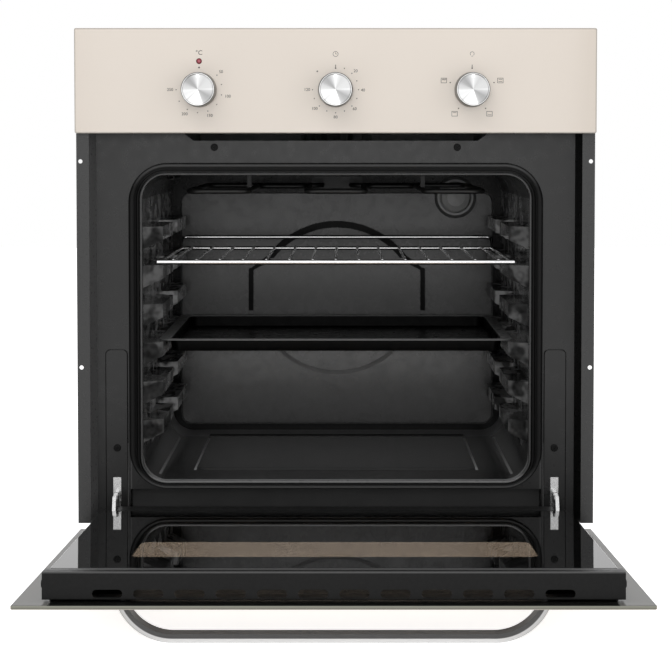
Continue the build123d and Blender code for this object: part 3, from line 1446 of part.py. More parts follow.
def handle():
    """Bow handle: a bar bent back to the glass at both ends, seen from above and made HANDLE_WIDTH tall."""
    inner = HANDLE_BEND_R - HANDLE_THICKNESS / 2
    outer = HANDLE_BEND_R + HANDLE_THICKNESS / 2
    centre_d = -HANDLE_STANDOFF + HANDLE_BEND_R
    bow = rect(
        -HANDLE_STRAIGHT_X,
        HANDLE_STRAIGHT_X,
        -HANDLE_STANDOFF - HANDLE_THICKNESS / 2,
        -HANDLE_STANDOFF + HANDLE_THICKNESS / 2,
    )
    for side in (-1, 1):
        ring = Pos(side * HANDLE_STRAIGHT_X, centre_d) * (Circle(outer) - Circle(inner))
        far = side * (HANDLE_STRAIGHT_X + outer)
        near = side * HANDLE_STRAIGHT_X
        bow += ring & rect(min(near, far), max(near, far), centre_d - outer, 0)
    bar = flat_slab(bow, HANDLE_H - HANDLE_WIDTH / 2, HANDLE_H + HANDLE_WIDTH / 2)
    front_y = FRONT_Y - HANDLE_STANDOFF - HANDLE_THICKNESS / 2

    def is_outer(edge):
        middle = edge @ 0.5
        across = abs(middle.X)
        if abs((edge @ 0).Z - (edge @ 1).Z) > SEAT_GAP:
            return False
        if across <= HANDLE_STRAIGHT_X:
            return middle.Y < front_y + HANDLE_THICKNESS / 2
        return math.hypot(across - HANDLE_STRAIGHT_X, middle.Y - FRONT_Y - centre_d) > HANDLE_BEND_R

    level = [edge for edge in bar.edges() if abs((edge @ 0.5).Y - FRONT_Y) > SEAT_GAP]
    bar = fillet([edge for edge in level if is_outer(edge)], HANDLE_OUTER_FILLET)
    for x in handle_screw_places():
        bar -= disc(x, HANDLE_H, HANDLE_SCREW_R + RUN_GAP, -HANDLE_SCREW_REACH - SEAT_GAP, 0)
    return bar


def handle_screws():
    screws = []
    for x in handle_screw_places():
        shank = disc(x, HANDLE_H, HANDLE_SCREW_R, -HANDLE_SCREW_REACH, PANEL_GLASS)
        head_back = PANEL_GLASS + HANDLE_SCREW_HEAD
        screws.append(shank + disc(x, HANDLE_H, HANDLE_SCREW_HEAD_R, PANEL_GLASS, head_back))
    return group(screws)


# Rack and tray


def wire_rack():
    """Chrome rack: thick front bar, side rails, rear bar, raised rear stop and fifteen wires."""
    low = RACK_LEDGE_H + SEAT_GAP
    rail_h = low + RACK_RAIL_R
    rail_x = RACK_HALF - RACK_RAIL_R
    stop_h = rail_h + RACK_STOP_RISE
    front_h = low + RACK_FRONT_R
    rack = cross_bar(RACK_FRONT_D, front_h, RACK_FRONT_R, -RACK_HALF, RACK_HALF)
    rack += cross_bar(RACK_REAR_D, rail_h, RACK_RAIL_R, -rail_x, rail_x)
    half = [
        (rail_x, FRONT_Y + RACK_FRONT_D, rail_h - BASE_H),
        (rail_x, FRONT_Y + RACK_REAR_D + RACK_RAIL_R, rail_h - BASE_H),
        (rail_x, FRONT_Y + RACK_STOP_D, stop_h - BASE_H),
    ]
    path = FilletPolyline(*half, *[(-x, y, z) for x, y, z in reversed(half)], radius=RACK_BEND_R)
    rack += sweep((path ^ 0) * Circle(RACK_RAIL_R), path)
    wire_h = rail_h + RACK_RAIL_R
    for k in range(RACK_WIRES):
        x = (k - (RACK_WIRES - 1) / 2) * RACK_WIRE_PITCH
        rack += disc(x, wire_h, RACK_WIRE_R, RACK_FRONT_D, RACK_REAR_D)
    return rack


def baking_tray():
    """Shallow tray: sloped walls, rounded corners and a flat rim that rides on the runners."""
    rim_low = TRAY_LEDGE_H + SEAT_GAP
    rim_top = rim_low + TRAY_WALL
    inner = TRAY_HALF - TRAY_RIM
    front = TRAY_FRONT_D + TRAY_RIM
    back = TRAY_BACK_D - TRAY_RIM
    rim = flat_slab(
        rounded(-TRAY_HALF, TRAY_HALF, TRAY_FRONT_D, TRAY_BACK_D, TRAY_CORNER_R), rim_low, rim_top
    )

    def bowl(shrink, top, floor):
        plane = Plane(origin=(0, FRONT_Y, top - BASE_H), x_dir=(1, 0, 0), z_dir=(0, 0, 1))
        shape = rounded(-inner + shrink, inner - shrink, front + shrink, back - shrink,
                        TRAY_CORNER_R - shrink)
        return extrude(plane * shape, floor - top, taper=TRAY_SLOPE_DEG)

    pan = rim + bowl(0, rim_top, rim_top - TRAY_DEPTH)
    return pan - bowl(TRAY_WALL, rim_top, rim_top - TRAY_DEPTH + TRAY_WALL)


# Write every piece


def write_controls():
    write("fascia_glass", fascia_glass())
    write("fascia_carrier", fascia_carrier())
    write("pilot_lamp", pilot_lamp())
    write("thermostat", thermostat())
    write("thermostat_bulb", thermostat_bulb())
    write("timer", timer())
    write("function_switch", function_switch())
    for name, x in DIALS.items():
        write(f"{name}_knob", knob(x))
        write(f"{name}_shaft", shaft(x))


def write_front():
    write("front_frame", front_frame())
    write("door_gasket", door_gasket())
    for side, trim in both_sides(side_trim).items():
        write(f"side_trim_{side}", trim)


def write_cavity():
    write("cavity_floor", cavity_floor())
    write("cavity_ceiling", cavity_ceiling())
    write("cavity_back", cavity_back())
    for side, wall in both_sides(cavity_side).items():
        write(f"cavity_side_{side}", wall)
    write("grill_element", grill_element())
    write("bottom_element", bottom_element())
    write("lamp_holder", lamp_holder())
    write("lamp_cover", lamp_cover())
    write("lamp_bulb", lamp_bulb())
    write("wire_rack", wire_rack())
    write("baking_tray", baking_tray())


def write_casing():
    write("insulation", insulation())
    write("casing_base", casing_base())
    write("casing_rear", casing_rear())
    write("casing_top", casing_top())
    write("casing_screws", casing_screws())
    for side, sheet in both_sides(casing_side).items():
        write(f"casing_{side}", sheet)
    write("air_duct", air_duct())
    write("fan_housing", fan_housing())
    write("fan_impeller", fan_impeller())
    write("fan_motor", fan_motor())
    write("terminal_box", terminal_box())
    write("cable_gland", cable_gland())


def write_hinges():
    for side, piece in both_sides(hinge_receiver).items():
        write(f"hinge_receiver_{side}", piece)
    for side, piece in both_sides(hinge_arm).items():
        write(f"hinge_arm_{side}", piece)
    for side, piece in both_sides(hinge_latch).items():
        write(f"hinge_latch_{side}", piece)
    for side, piece in both_sides(hinge_channel).items():
        write(f"hinge_channel_{side}", opened(piece))
    write("hinge_springs", group(opened(piece) for piece in both_sides(hinge_spring).values()))


def write_door():
    write("door_outer_glass", opened(door_outer_glass()))
    write("door_inner_glass", opened(door_inner_glass()))
    write("door_top_profile", opened(door_top_profile()))
    write("door_bottom_profile", opened(door_bottom_profile()))
    for side, strip in both_sides(door_side_profile).items():
        write(f"door_side_profile_{side}", opened(strip))
    write("door_buffers", opened(door_buffers()))
    write("handle", opened(handle()))
    write("handle_screws", opened(handle_screws()))


os.makedirs("parts", exist_ok=True)
write_controls()
write_front()
write_cavity()
write_casing()
write_hinges()
write_door()
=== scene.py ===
import json
import math

import bmesh
import bpy
from mathutils import Matrix, Vector


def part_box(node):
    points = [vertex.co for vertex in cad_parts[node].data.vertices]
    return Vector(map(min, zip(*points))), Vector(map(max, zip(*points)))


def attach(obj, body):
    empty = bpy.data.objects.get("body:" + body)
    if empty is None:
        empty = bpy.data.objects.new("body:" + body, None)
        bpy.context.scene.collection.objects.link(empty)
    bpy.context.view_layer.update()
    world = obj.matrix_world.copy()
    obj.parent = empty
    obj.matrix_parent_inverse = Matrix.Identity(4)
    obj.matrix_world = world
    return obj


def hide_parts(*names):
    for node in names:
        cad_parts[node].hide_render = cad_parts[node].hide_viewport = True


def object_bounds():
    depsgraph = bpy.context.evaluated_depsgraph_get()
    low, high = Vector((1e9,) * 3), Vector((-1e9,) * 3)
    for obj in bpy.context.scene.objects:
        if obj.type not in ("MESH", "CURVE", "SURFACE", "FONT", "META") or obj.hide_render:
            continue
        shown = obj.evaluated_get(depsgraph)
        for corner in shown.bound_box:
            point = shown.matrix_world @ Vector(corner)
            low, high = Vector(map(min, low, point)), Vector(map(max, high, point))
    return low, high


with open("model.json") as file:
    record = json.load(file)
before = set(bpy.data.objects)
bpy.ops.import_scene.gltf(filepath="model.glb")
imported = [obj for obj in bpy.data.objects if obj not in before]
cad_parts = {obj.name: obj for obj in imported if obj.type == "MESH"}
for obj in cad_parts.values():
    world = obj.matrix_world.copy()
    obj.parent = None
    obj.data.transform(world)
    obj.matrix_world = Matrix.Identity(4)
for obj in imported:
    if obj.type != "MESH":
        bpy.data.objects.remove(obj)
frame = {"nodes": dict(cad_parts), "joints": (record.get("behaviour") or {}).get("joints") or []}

CAD_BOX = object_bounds()
NODES = frame["nodes"]

# Camera, fitted to the photograph. It looks slightly down, and the shift does the rest of the framing.
CAMERA_X = 0.0088
CAMERA_BEHIND_FRONT = 2.17399
CAMERA_HEIGHT = 0.46523
CAMERA_PITCH_DEG = 2.5
CAMERA_LENS = 102.084
CAMERA_SENSOR = 36.0
CAMERA_SHIFT_X = -0.0109
CAMERA_SHIFT_Y = -0.1645
CAMERA_CLIP_END = 50

# Places in the frame, in metres
FRONT_HEIGHT = 0.595
FRONT_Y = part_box("fascia_glass")[0].y
FRONT_LOW_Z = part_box("fascia_glass")[1].z - FRONT_HEIGHT
FLOOR_GAP = 0.0005
FLOOR_Z = CAD_BOX[0].z - FLOOR_GAP
# The mouth's half width, and its lowest and highest edge over the front's lower edge
MOUTH_HALF = 0.225
MOUTH_LOW = 0.070
MOUTH_HIGH = 0.427

GLASS_IOR = 1.45


def axis_of(node):
    """Middle of a node as seen from the front: across and height."""
    low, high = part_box(node)
    return (low.x + high.x) / 2, (low.z + high.z) / 2


def door_directions():
    """The foot of the open door's outer face, and the directions up the door and inwards through it."""
    joint = next(joint for joint in frame["joints"] if joint["name"] == "door_swing")
    open_angle = math.radians(joint["range_deg"][1])
    up = Vector((0, -math.sin(open_angle), math.cos(open_angle)))
    deep = Vector((0, math.cos(open_angle), math.sin(open_angle)))
    _, hinge_y, hinge_z = joint["pos_m"]
    start = Vector(joint["pos_m"]) - deep * (hinge_y - FRONT_Y) - up * (hinge_z - FRONT_LOW_Z)
    return start, up, deep


DOOR_ORIGIN, DOOR_UP, DOOR_DEEP = door_directions()


def door_reach(node):
    """A door piece's lowest and highest place up the door, then its shallowest and deepest."""
    places = [vertex.co - DOOR_ORIGIN for vertex in NODES[node].data.vertices]
    rises = [place.dot(DOOR_UP) for place in places]
    depths = [place.dot(DOOR_DEEP) for place in places]
    return min(rises), max(rises), min(depths), max(depths)


# Colours


def linear(value):
    """A display value of 0 to 255 as linear light, by the standard curve."""
    value = value / 255
    return value / 12.92 if value <= 0.04045 else ((value + 0.055) / 1.055) ** 2.4


def tone(red, green, blue):
    """A colour as it should look, 0 to 255, as the renderer's linear numbers."""
    return (linear(red), linear(green), linear(blue), 1.0)


def grey(value):
    return tone(value, value, value)


# Ways to build a material


class Maker:
    """One procedural material: its node tree, its shader and short ways to add nodes."""

    def __init__(self, name):
        self.material = bpy.data.materials.new(name)
        self.material.use_nodes = True
        self.tree = self.material.node_tree
        self.shader = self.tree.nodes["Principled BSDF"]
        self.output = self.tree.nodes["Material Output"]

    def node(self, kind, inputs=None, **settings):
        made = self.tree.nodes.new(kind)
        for key, value in settings.items():
            setattr(made, key, value)
        for key, value in (inputs or {}).items():
            self.feed(made.inputs[key], value)
        return made

    def feed(self, socket, value):
        if isinstance(value, bpy.types.NodeSocket):
            self.tree.links.new(value, socket)
        else:
            socket.default_value = value

    def set(self, **sockets):
        for key, value in sockets.items():
            self.feed(self.shader.inputs[key.replace("_", " ")], value)

    def math(self, operation, *values):
        made = self.node("ShaderNodeMath", operation=operation)
        for socket, value in zip(made.inputs, values):
            self.feed(socket, value)
        return made.outputs[0]

    def add(self, first, second):
        return self.math("ADD", first, second)

    def minus(self, first, second):
        return self.math("SUBTRACT", first, second)

    def both(self, first, second):
        return self.math("MULTIPLY", first, second)

    def either(self, first, second):
        return self.math("MAXIMUM", first, second)

    def size(self, value):
        return self.math("ABSOLUTE", value)

    def length(self, first, second):
        """How far a point lies from the origin of two coordinates."""
        return self.math("SQRT", self.add(self.both(first, first), self.both(second, second)))

    def split(self, vector):
        return self.node("ShaderNodeSeparateXYZ", {"Vector": vector}).outputs

    def own(self, kind="Object"):
        """One kind of the object's own coordinates, as X, Y and Z."""
        return self.split(self.node("ShaderNodeTexCoord").outputs[kind])

    def about_middle(self):
        """Shares of the object's own box, 0 in its middle, as X, Y and Z."""
        where = self.node("ShaderNodeTexCoord").outputs["Generated"]
        moved = self.node("ShaderNodeMapping", {"Vector": where, "Location": (-0.5, -0.5, -0.5)})
        return self.split(moved.outputs[0])

    def place(self, scale=(1, 1, 1)):
        """The object's own coordinates, stretched."""
        where = self.node("ShaderNodeTexCoord").outputs["Object"]
        return self.node("ShaderNodeMapping", {"Vector": where, "Scale": scale}).outputs[0]

    def noise(self, size, detail=3.0, stretch=(1, 1, 1), rough=0.55):
        """Smooth noise whose features are about size metres across."""
        inputs = {"Vector": self.place(stretch), "Scale": 1 / size, "Detail": detail, "Roughness": rough}
        return self.node("ShaderNodeTexNoise", inputs).outputs["Fac"]

    def spread(self, factor, low, high, start=0.3, end=0.7):
        """A number that follows a factor from low to high."""
        inputs = {"Value": factor, "From Min": start, "From Max": end, "To Min": low, "To Max": high}
        return self.node("ShaderNodeMapRange", inputs).outputs[0]

    def rise(self, value, start, end):
        """0 up to a start, then up to 1 at an end."""
        return self.spread(value, 0, 1, start, end)

    def fall(self, value, start, end):
        """1 up to a start, then down to 0 at an end."""
        return self.spread(value, 1, 0, start, end)

    def near(self, value, middle, half, soft=0.0003):
        """1 where a value is within half of a middle, else 0."""
        return self.fall(self.size(self.minus(value, middle)), half - soft, half + soft)

    def glow(self, value, middle, reach):
        """1 at a middle, fading to 0 at a reach from it."""
        return self.fall(self.size(self.minus(value, middle)), 0, reach)

    def blend(self, factor, first, second):
        """A colour between two colours."""
        made = self.node("ShaderNodeMix", data_type="RGBA")
        self.feed(made.inputs["Factor"], factor)
        self.feed(made.inputs["A"], first)
        self.feed(made.inputs["B"], second)
        return made.outputs["Result"]

    def mottle(self, noise, dark, light):
        """Two close colours that follow a noise."""
        return self.blend(self.spread(noise, 0, 1), dark, light)

    def paint(self, mask, colour):
        """Lays a colour over the base colour where a mask is 1."""
        base = self.shader.inputs["Base Color"].links[0].from_socket
        self.set(Base_Color=self.blend(mask, base, colour))

    def about(self, noise, middle, least=0.85, most=1.15):
        """A number that wanders round a middle value with a noise."""
        return self.spread(noise, middle * least, middle * most)

    def greys(self, factor, stops):
        """A band of greys along a factor: pairs of place and tone, the first at 0 and the last at 1."""
        made = self.node("ShaderNodeValToRGB", {"Fac": factor})
        band = made.color_ramp.elements
        band[0].color = grey(stops[0][1])
        band[1].color = grey(stops[-1][1])
        for place, value in stops[1:-1]:
            band.new(place).color = grey(value)
        return made.outputs["Color"]

    def bump(self, height, strength, distance):
        inputs = {"Height": height, "Strength": strength, "Distance": distance}
        return self.node("ShaderNodeBump", inputs).outputs[0]


def standing_coordinates(made):
    """Across, depth behind the front and height over its lower edge, for pieces that stand still."""
    parts = made.own()
    return parts["X"], made.minus(parts["Y"], FRONT_Y), made.minus(parts["Z"], FRONT_LOW_Z)


def door_coordinates(made):
    """Across, up the door and inwards from its outer face, from the open door's own coordinates."""
    where = made.node("ShaderNodeTexCoord").outputs["Object"]
    offset = made.node("ShaderNodeVectorMath", {0: where, 1: DOOR_ORIGIN}, operation="SUBTRACT").outputs[0]
    up = made.node("ShaderNodeVectorMath", {0: offset, 1: DOOR_UP}, operation="DOT_PRODUCT")
    deep = made.node("ShaderNodeVectorMath", {0: offset, 1: DOOR_DEEP}, operation="DOT_PRODUCT")
    return made.split(where)["X"], up.outputs["Value"], deep.outputs["Value"]


def outline_distance(made, across, up, half, low, high, corner):
    """How far a point lies outside a rectangle with rounded corners, negative inside it."""
    aside = made.either(made.minus(made.size(across), half - corner), 0.0)
    rise = made.size(made.minus(up, (low + high) / 2))
    above = made.either(made.minus(rise, (high - low) / 2 - corner), 0.0)
    return made.minus(made.length(aside, above), corner)


# Plain finishes


def coated(name, dark, light, roughness, patch=0.05, grain=0.002, bump=0.05, distance=0.0002, **more):
    """Paint, enamel, plastic or plain metal: two close tones in patches, fine grain and a soft bump."""
    made = Maker(name)
    fine = made.noise(grain, detail=2.0)
    made.set(
        Base_Color=made.mottle(made.noise(patch), dark, light),
        Roughness=made.about(fine, roughness),
        Normal=made.bump(fine, bump, distance),
        **more,
    )
    return made.material


def brushed(name, dark, light, roughness, stretch):
    """Metal with a fine grain drawn out along one axis."""
    made = Maker(name)
    strokes = made.noise(0.0012, detail=4.0, stretch=stretch)
    made.set(
        Base_Color=made.mottle(strokes, dark, light),
        Roughness=made.about(strokes, roughness, 0.8, 1.25),
        Metallic=1.0,
        Normal=made.bump(strokes, 0.12, 0.0001),
    )
    return made.material


SPANGLES_PER_METRE = 170.0


def galvanised():
    """Zinc-coated sheet with its spangle."""
    made = Maker("zinc_sheet")
    spangle = made.node("ShaderNodeTexVoronoi", {"Vector": made.place(), "Scale": SPANGLES_PER_METRE})
    share = made.node("ShaderNodeSeparateColor", {"Color": spangle.outputs["Color"]}).outputs[0]
    made.set(
        Base_Color=made.blend(made.rise(share, 0, 1), tone(162, 165, 168), tone(180, 182, 184)),
        Roughness=made.spread(share, 0.3, 0.48, 0, 1),
        Metallic=1.0,
        Normal=made.bump(made.noise(0.03), 0.15, 0.001),
    )
    return made.material


def clear_glass(name, tint, roughness):
    """Thin clear glass, faintly uneven."""
    made = Maker(name)
    swirl = made.noise(0.01)
    made.set(
        Base_Color=tint,
        Roughness=made.about(swirl, roughness, 0.7, 1.3),
        Transmission_Weight=1.0,
        IOR=GLASS_IOR,
        Normal=made.bump(swirl, 0.05, 0.0005),
    )
    return made.material


WOOL_DARK_FRONT_D = (0.13, 0.16)


def mineral_wool():
    """Pale loose fibre, darker over its front."""
    made = Maker("mineral_wool")
    fibre = made.noise(0.004, detail=6.0, stretch=(1, 3, 1))
    made.set(
        Base_Color=made.mottle(fibre, tone(172, 160, 120), tone(214, 205, 170)),
        Roughness=0.95,
        Normal=made.bump(fibre, 0.8, 0.003),
    )
    _, deep, _ = standing_coordinates(made)
    made.paint(made.fall(deep, *WOOL_DARK_FRONT_D), tone(26, 26, 25))
    return made.material


# Controls

# Greys of the painted reflection round a knob's face, as shares of a turn from its foot
KNOB_PAINTED_REFLECTION = [
    (0.0, 240), (0.04, 234), (0.1, 222), (0.118, 208), (0.128, 176), (0.138, 214), (0.19, 204), (0.235, 210),
    (0.26, 186), (0.3, 176), (0.345, 146), (0.39, 140), (0.43, 160), (0.475, 196), (0.5, 210), (0.53, 196),
    (0.58, 178), (0.66, 186), (0.735, 188), (0.748, 208), (0.765, 182), (0.8, 166), (0.84, 144), (0.88, 150),
    (0.925, 166), (0.942, 190), (0.955, 236), (1.0, 240),
]
KNOB_RINGS = 260.0
# Shares of the knob's width
KNOB_RIM_SHADE = (0.458, 0.466)
KNOB_BEVEL_HIGHLIGHT = (0.446, 0.006, 0.003)
KNOB_MARKS_UP = (0.4, 0.35)
KNOB_MARK_TALL = (0.014, 0.004)
KNOB_MARK_WIDE = (0.036, 0.01)


def spun_metal():
    """Turned aluminium: painted reflections in wedges across its rings, a painted highlight on its bevel, a
    rim painted dark as shade, and the pointer's two small marks.
    """
    made = Maker("spun_metal")
    parts = made.about_middle()
    across, up = parts["X"], parts["Z"]
    reach = made.length(across, up)
    turn = made.math("DIVIDE", made.math("ARCTAN2", across, up), 2 * math.pi)
    inputs = {"W": reach, "Scale": KNOB_RINGS, "Detail": 3.0}
    rings = made.node("ShaderNodeTexNoise", inputs, noise_dimensions="1D").outputs["Fac"]
    # Painted reflection: wedges of light and dark round the face, dimmed towards grey along the turning
    # rings.
    sheen = made.greys(made.add(turn, 0.5), KNOB_PAINTED_REFLECTION)
    made.set(
        Base_Color=made.blend(made.spread(rings, 0.2, 0.32), sheen, grey(90)),
        Metallic=1.0,
        Roughness=made.spread(rings, 0.28, 0.36),
        Normal=made.bump(rings, 0.06, 0.0001),
    )
    # Painted highlight on the bevel, then the rim and side painted dark as shade.
    made.paint(made.both(made.near(reach, *KNOB_BEVEL_HIGHLIGHT), 0.6), tone(222, 222, 220))
    made.paint(made.rise(reach, *KNOB_RIM_SHADE), tone(112, 111, 108))
    marks = made.add(*[made.near(up, middle, *KNOB_MARK_TALL) for middle in KNOB_MARKS_UP])
    made.paint(made.both(marks, made.near(across, 0.0, *KNOB_MARK_WIDE)), grey(248))
    return made.material


def lens_plastic():
    """The pilot lens: deep red with a paler middle."""
    made = Maker("red_lens")
    haze = made.noise(0.001)
    parts = made.about_middle()
    made.set(
        Base_Color=made.mottle(haze, tone(112, 28, 40), tone(128, 34, 46)),
        Roughness=made.spread(haze, 0.16, 0.24),
        Specular_IOR_Level=0.2,
        Normal=made.bump(haze, 0.05, 0.0001),
    )
    made.paint(made.fall(made.length(parts["X"], parts["Z"]), 0.05, 0.3), tone(196, 110, 120))
    return made.material


CREAM = (tone(226, 215, 203), tone(229, 218, 206))
PANEL_CORNER = 0.003
PANEL_RIM = (-0.0018, -0.0010)


def painted_glass():
    """Cream paint behind clear glass, with a darker line along the panel's edges."""
    made = Maker("cream_glass")
    made.set(
        Base_Color=made.mottle(made.noise(0.2, detail=1.0), *CREAM),
        Roughness=made.spread(made.noise(0.01), 0.1, 0.14),
        Coat_Weight=0.2,
        Coat_Roughness=0.03,
    )
    across, _, up = standing_coordinates(made)
    low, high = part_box("fascia_glass")
    away = outline_distance(made, across, up, high.x, low.z - FRONT_LOW_Z, high.z - FRONT_LOW_Z, PANEL_CORNER)
    made.paint(made.rise(away, *PANEL_RIM), tone(188, 180, 170))
    return made.material


# Front frame and cavity


def glaze(made, roughness, bump, shine=0.5):
    """The smooth, faintly wavy surface of vitreous enamel."""
    waves = made.noise(0.012, detail=2.0)
    made.set(
        Roughness=made.about(waves, roughness),
        Specular_IOR_Level=shine,
        Normal=made.bump(waves, bump, 0.0005),
    )


def enamel(name, dark, light, roughness, bump, shine=0.5):
    """Dark enamel in two close tones."""
    made = Maker(name)
    made.set(Base_Color=made.mottle(made.noise(0.08), dark, light))
    glaze(made, roughness, bump, shine)
    return made


LIP_WIDTH = 0.0026
LIP_SOFT = 0.0005
LIP_INSIDE = (-0.002, -0.001)
LIP_CORNER = 0.028
LIP_LOWER_RUN_H = (0.074, 0.08)
COLUMN_HIGHLIGHT_LINES = (0.2390, 0.2425)
COLUMN_HIGHLIGHT_HALF = 0.0005
COLUMN_HIGHLIGHT_TOP = (0.113, 0.115)
FRAME_FOOT_H = (0.055, 0.16)
FRAME_SHEEN_H = (0.06, 0.19)


def frame_enamel():
    """The front frame: painted highlights on the mouth lip, brightest along its lower run, and on the column
    edges, and less sheen at its foot.
    """
    made = enamel("frame_enamel", grey(20), grey(23), 0.3, 0.03)
    across, _, up = standing_coordinates(made)
    made.paint(made.fall(up, *FRAME_FOOT_H), grey(24))
    lip = outline_distance(made, across, up, MOUTH_HALF, MOUTH_LOW, MOUTH_HIGH, LIP_CORNER)
    lip_highlight = made.both(made.fall(lip, LIP_WIDTH, LIP_WIDTH + LIP_SOFT), made.rise(lip, *LIP_INSIDE))
    # Painted highlight along the mouth lip, brighter on its lower run.
    made.paint(lip_highlight, made.blend(made.fall(up, *LIP_LOWER_RUN_H), grey(58), grey(112)))
    far = made.size(across)
    # Painted highlight lines on the column edges.
    lines = made.add(*[made.near(far, line, COLUMN_HIGHLIGHT_HALF) for line in COLUMN_HIGHLIGHT_LINES])
    lines = made.both(lines, made.fall(up, *COLUMN_HIGHLIGHT_TOP))
    made.paint(lines, grey(82))
    sheen = made.spread(up, 0.25, 0.36, *FRAME_SHEEN_H)
    made.set(Specular_IOR_Level=made.both(sheen, made.spread(lines, 1, 0.6)))
    return made.material


PANEL_FACE_D = 0.432
PANEL_FACE_SOFT = (0.0012, 0.0006)
WALL_D = 0.435
PANEL_EDGE_HIGHLIGHT_HALF = 0.0011
LOW_ARCH_TOP = (0.209, 0.21)
BACK_FOOT_SHADE_H = (0.09, 0.16)
BACK_LIGHT_BAND = (0.18, 0.06)
BACK_HEAD_SHADE_H = (0.3, 0.37)
BACK_SHEEN_H = (0.09, 0.15)
BACK_SHEEN_BAND = (0.172, 0.04)


def back_enamel():
    """The back wall: a lighter pressed panel, painted lighter in a band across its middle and darker at its
    foot and head as painted light and shade, with a painted highlight along its edge, raised arches painted
    dark above as shade and light below as highlight, and the wall round it near black.
    """
    made = enamel("back_enamel", grey(88), grey(94), 0.27, 0.015)
    _, deep, up = standing_coordinates(made)
    # Painted shade at the foot, painted light in a band across the middle, painted shade at the head.
    made.paint(made.both(made.fall(up, *BACK_FOOT_SHADE_H), 0.5), grey(44))
    made.paint(made.both(made.glow(up, *BACK_LIGHT_BAND), 0.8), grey(122))
    made.paint(made.both(made.rise(up, *BACK_HEAD_SHADE_H), 0.8), grey(54))
    raised = made.fall(deep, PANEL_FACE_D - PANEL_FACE_SOFT[0], PANEL_FACE_D - PANEL_FACE_SOFT[1])
    # Raised arches: painted shade above, painted highlight below.
    made.paint(raised, made.blend(made.fall(up, *LOW_ARCH_TOP), grey(9), grey(165)))
    # Painted highlight along the pressed panel's edge.
    made.paint(made.near(deep, (PANEL_FACE_D + WALL_D) / 2, PANEL_EDGE_HIGHLIGHT_HALF), grey(120))
    wall = made.rise(deep, WALL_D - 0.0003, WALL_D - 0.0001)
    made.paint(wall, grey(8))
    sheen = made.spread(up, 0.28, 0.44, *BACK_SHEEN_H)
    sheen = made.add(sheen, made.both(made.glow(up, *BACK_SHEEN_BAND), 0.26))
    sheen = made.both(sheen, made.spread(raised, 1, 0.12, 0, 1))
    made.set(Specular_IOR_Level=made.both(sheen, made.spread(wall, 1, 0.3, 0, 1)))
    return made.material


SIDE_REFLECTION_FADE_D = (0.06, 0.2)


def side_enamel():
    """The cavity's sides: glossy enamel with painted reflections of wires and runners as broken light and
    dark patches.
    """
    made = Maker("side_enamel")
    glaze(made, 0.2, 0.1)
    patches = made.noise(0.022, detail=1.5, stretch=(1, 0.6, 1), rough=0.4)
    streaks = made.noise(0.009, detail=1.0, stretch=(1, 0.3, 1))
    _, deep, _ = standing_coordinates(made)
    # Painted reflections: light patches over dark and mid-grey streaks, fewer near the front.
    light = made.both(made.rise(patches, 0.43, 0.5), made.spread(streaks, 0.35, 1, 0.35, 0.55))
    light = made.both(light, made.spread(deep, 0.15, 1, *SIDE_REFLECTION_FADE_D))
    made.set(
        Base_Color=made.blend(light, made.mottle(streaks, grey(14), grey(54)), grey(172)),
        Specular_IOR_Level=made.spread(patches, 0.05, 0.22, 0.42, 0.55),
    )
    return made.material


# Places of the floor's painted highlight and shade lines: half widths, depths behind the front, and soft
# edges
FLOOR_PAD_HALF = 0.171
FLOOR_PAD_FRONT = 0.112
FLOOR_PAD_BACK = 0.362
FLOOR_PAD_HIGHLIGHT = (FLOOR_PAD_HALF - 0.0008, 0.0016)
FLOOR_SIDE_HIGHLIGHT = (0.2085, 0.0014)
FLOOR_SIDE_HIGHLIGHT_D = (0.21, 0.14)
FLOOR_BACK_SHADE_D = (0.386, 0.009, 0.002)
FLOOR_BACK_SHADE_END = (FLOOR_PAD_HALF, FLOOR_PAD_HALF + 0.001)
FLOOR_BACK_LIGHT = (FLOOR_PAD_BACK, FLOOR_PAD_BACK + 0.02)
FLOOR_FRONT_HIGHLIGHT = (0.046, 0.05)
FLOOR_LEVEL = (MOUTH_LOW + 0.004, MOUTH_LOW + 0.006)


def floor_enamel():
    """The cavity floor: painted light towards the back, a painted highlight along its front, painted
    highlight lines round its pressed pad and near its sides, and a painted shade line behind the pad.
    """
    made = enamel("floor_enamel", grey(32), grey(42), 0.22, 0.08)
    across, deep, up = standing_coordinates(made)
    far = made.size(across)
    on_floor = made.fall(up, *FLOOR_LEVEL)
    # Painted light, growing towards the back of the floor.
    made.paint(made.rise(deep, 0.09, 0.26), grey(92))
    made.paint(made.rise(deep, *FLOOR_BACK_LIGHT), grey(150))
    pad_middle = (FLOOR_PAD_FRONT + FLOOR_PAD_BACK) / 2
    pad_half = (FLOOR_PAD_BACK - FLOOR_PAD_FRONT) / 2
    # Painted highlight lines round the pressed pad and near the sides.
    pad_edge_highlight = made.both(made.near(far, *FLOOR_PAD_HIGHLIGHT), made.near(deep, pad_middle, pad_half))
    made.paint(made.both(pad_edge_highlight, on_floor), grey(190))
    made.paint(made.both(made.near(far, *FLOOR_SIDE_HIGHLIGHT), made.near(deep, *FLOOR_SIDE_HIGHLIGHT_D)), grey(130))
    # Painted shade line behind the pad.
    behind = made.both(made.near(deep, *FLOOR_BACK_SHADE_D), made.fall(far, *FLOOR_BACK_SHADE_END))
    behind = made.both(behind, on_floor)
    made.paint(behind, grey(4))
    # Painted highlight along the floor's front.
    made.paint(made.fall(deep, *FLOOR_FRONT_HIGHLIGHT), grey(140))
    sheen = made.add(made.spread(deep, 0.24, 0.66, 0.1, 0.22), made.spread(deep, 0, 0.3, 0.33, 0.4))
    made.set(Specular_IOR_Level=made.both(sheen, made.spread(behind, 1, 0.05, 0, 1)))
    return made.material


TRAY_RIM_BELOW = (0.0016, 0.0010)
TRAY_FACE_D = (0.010, 0.014)


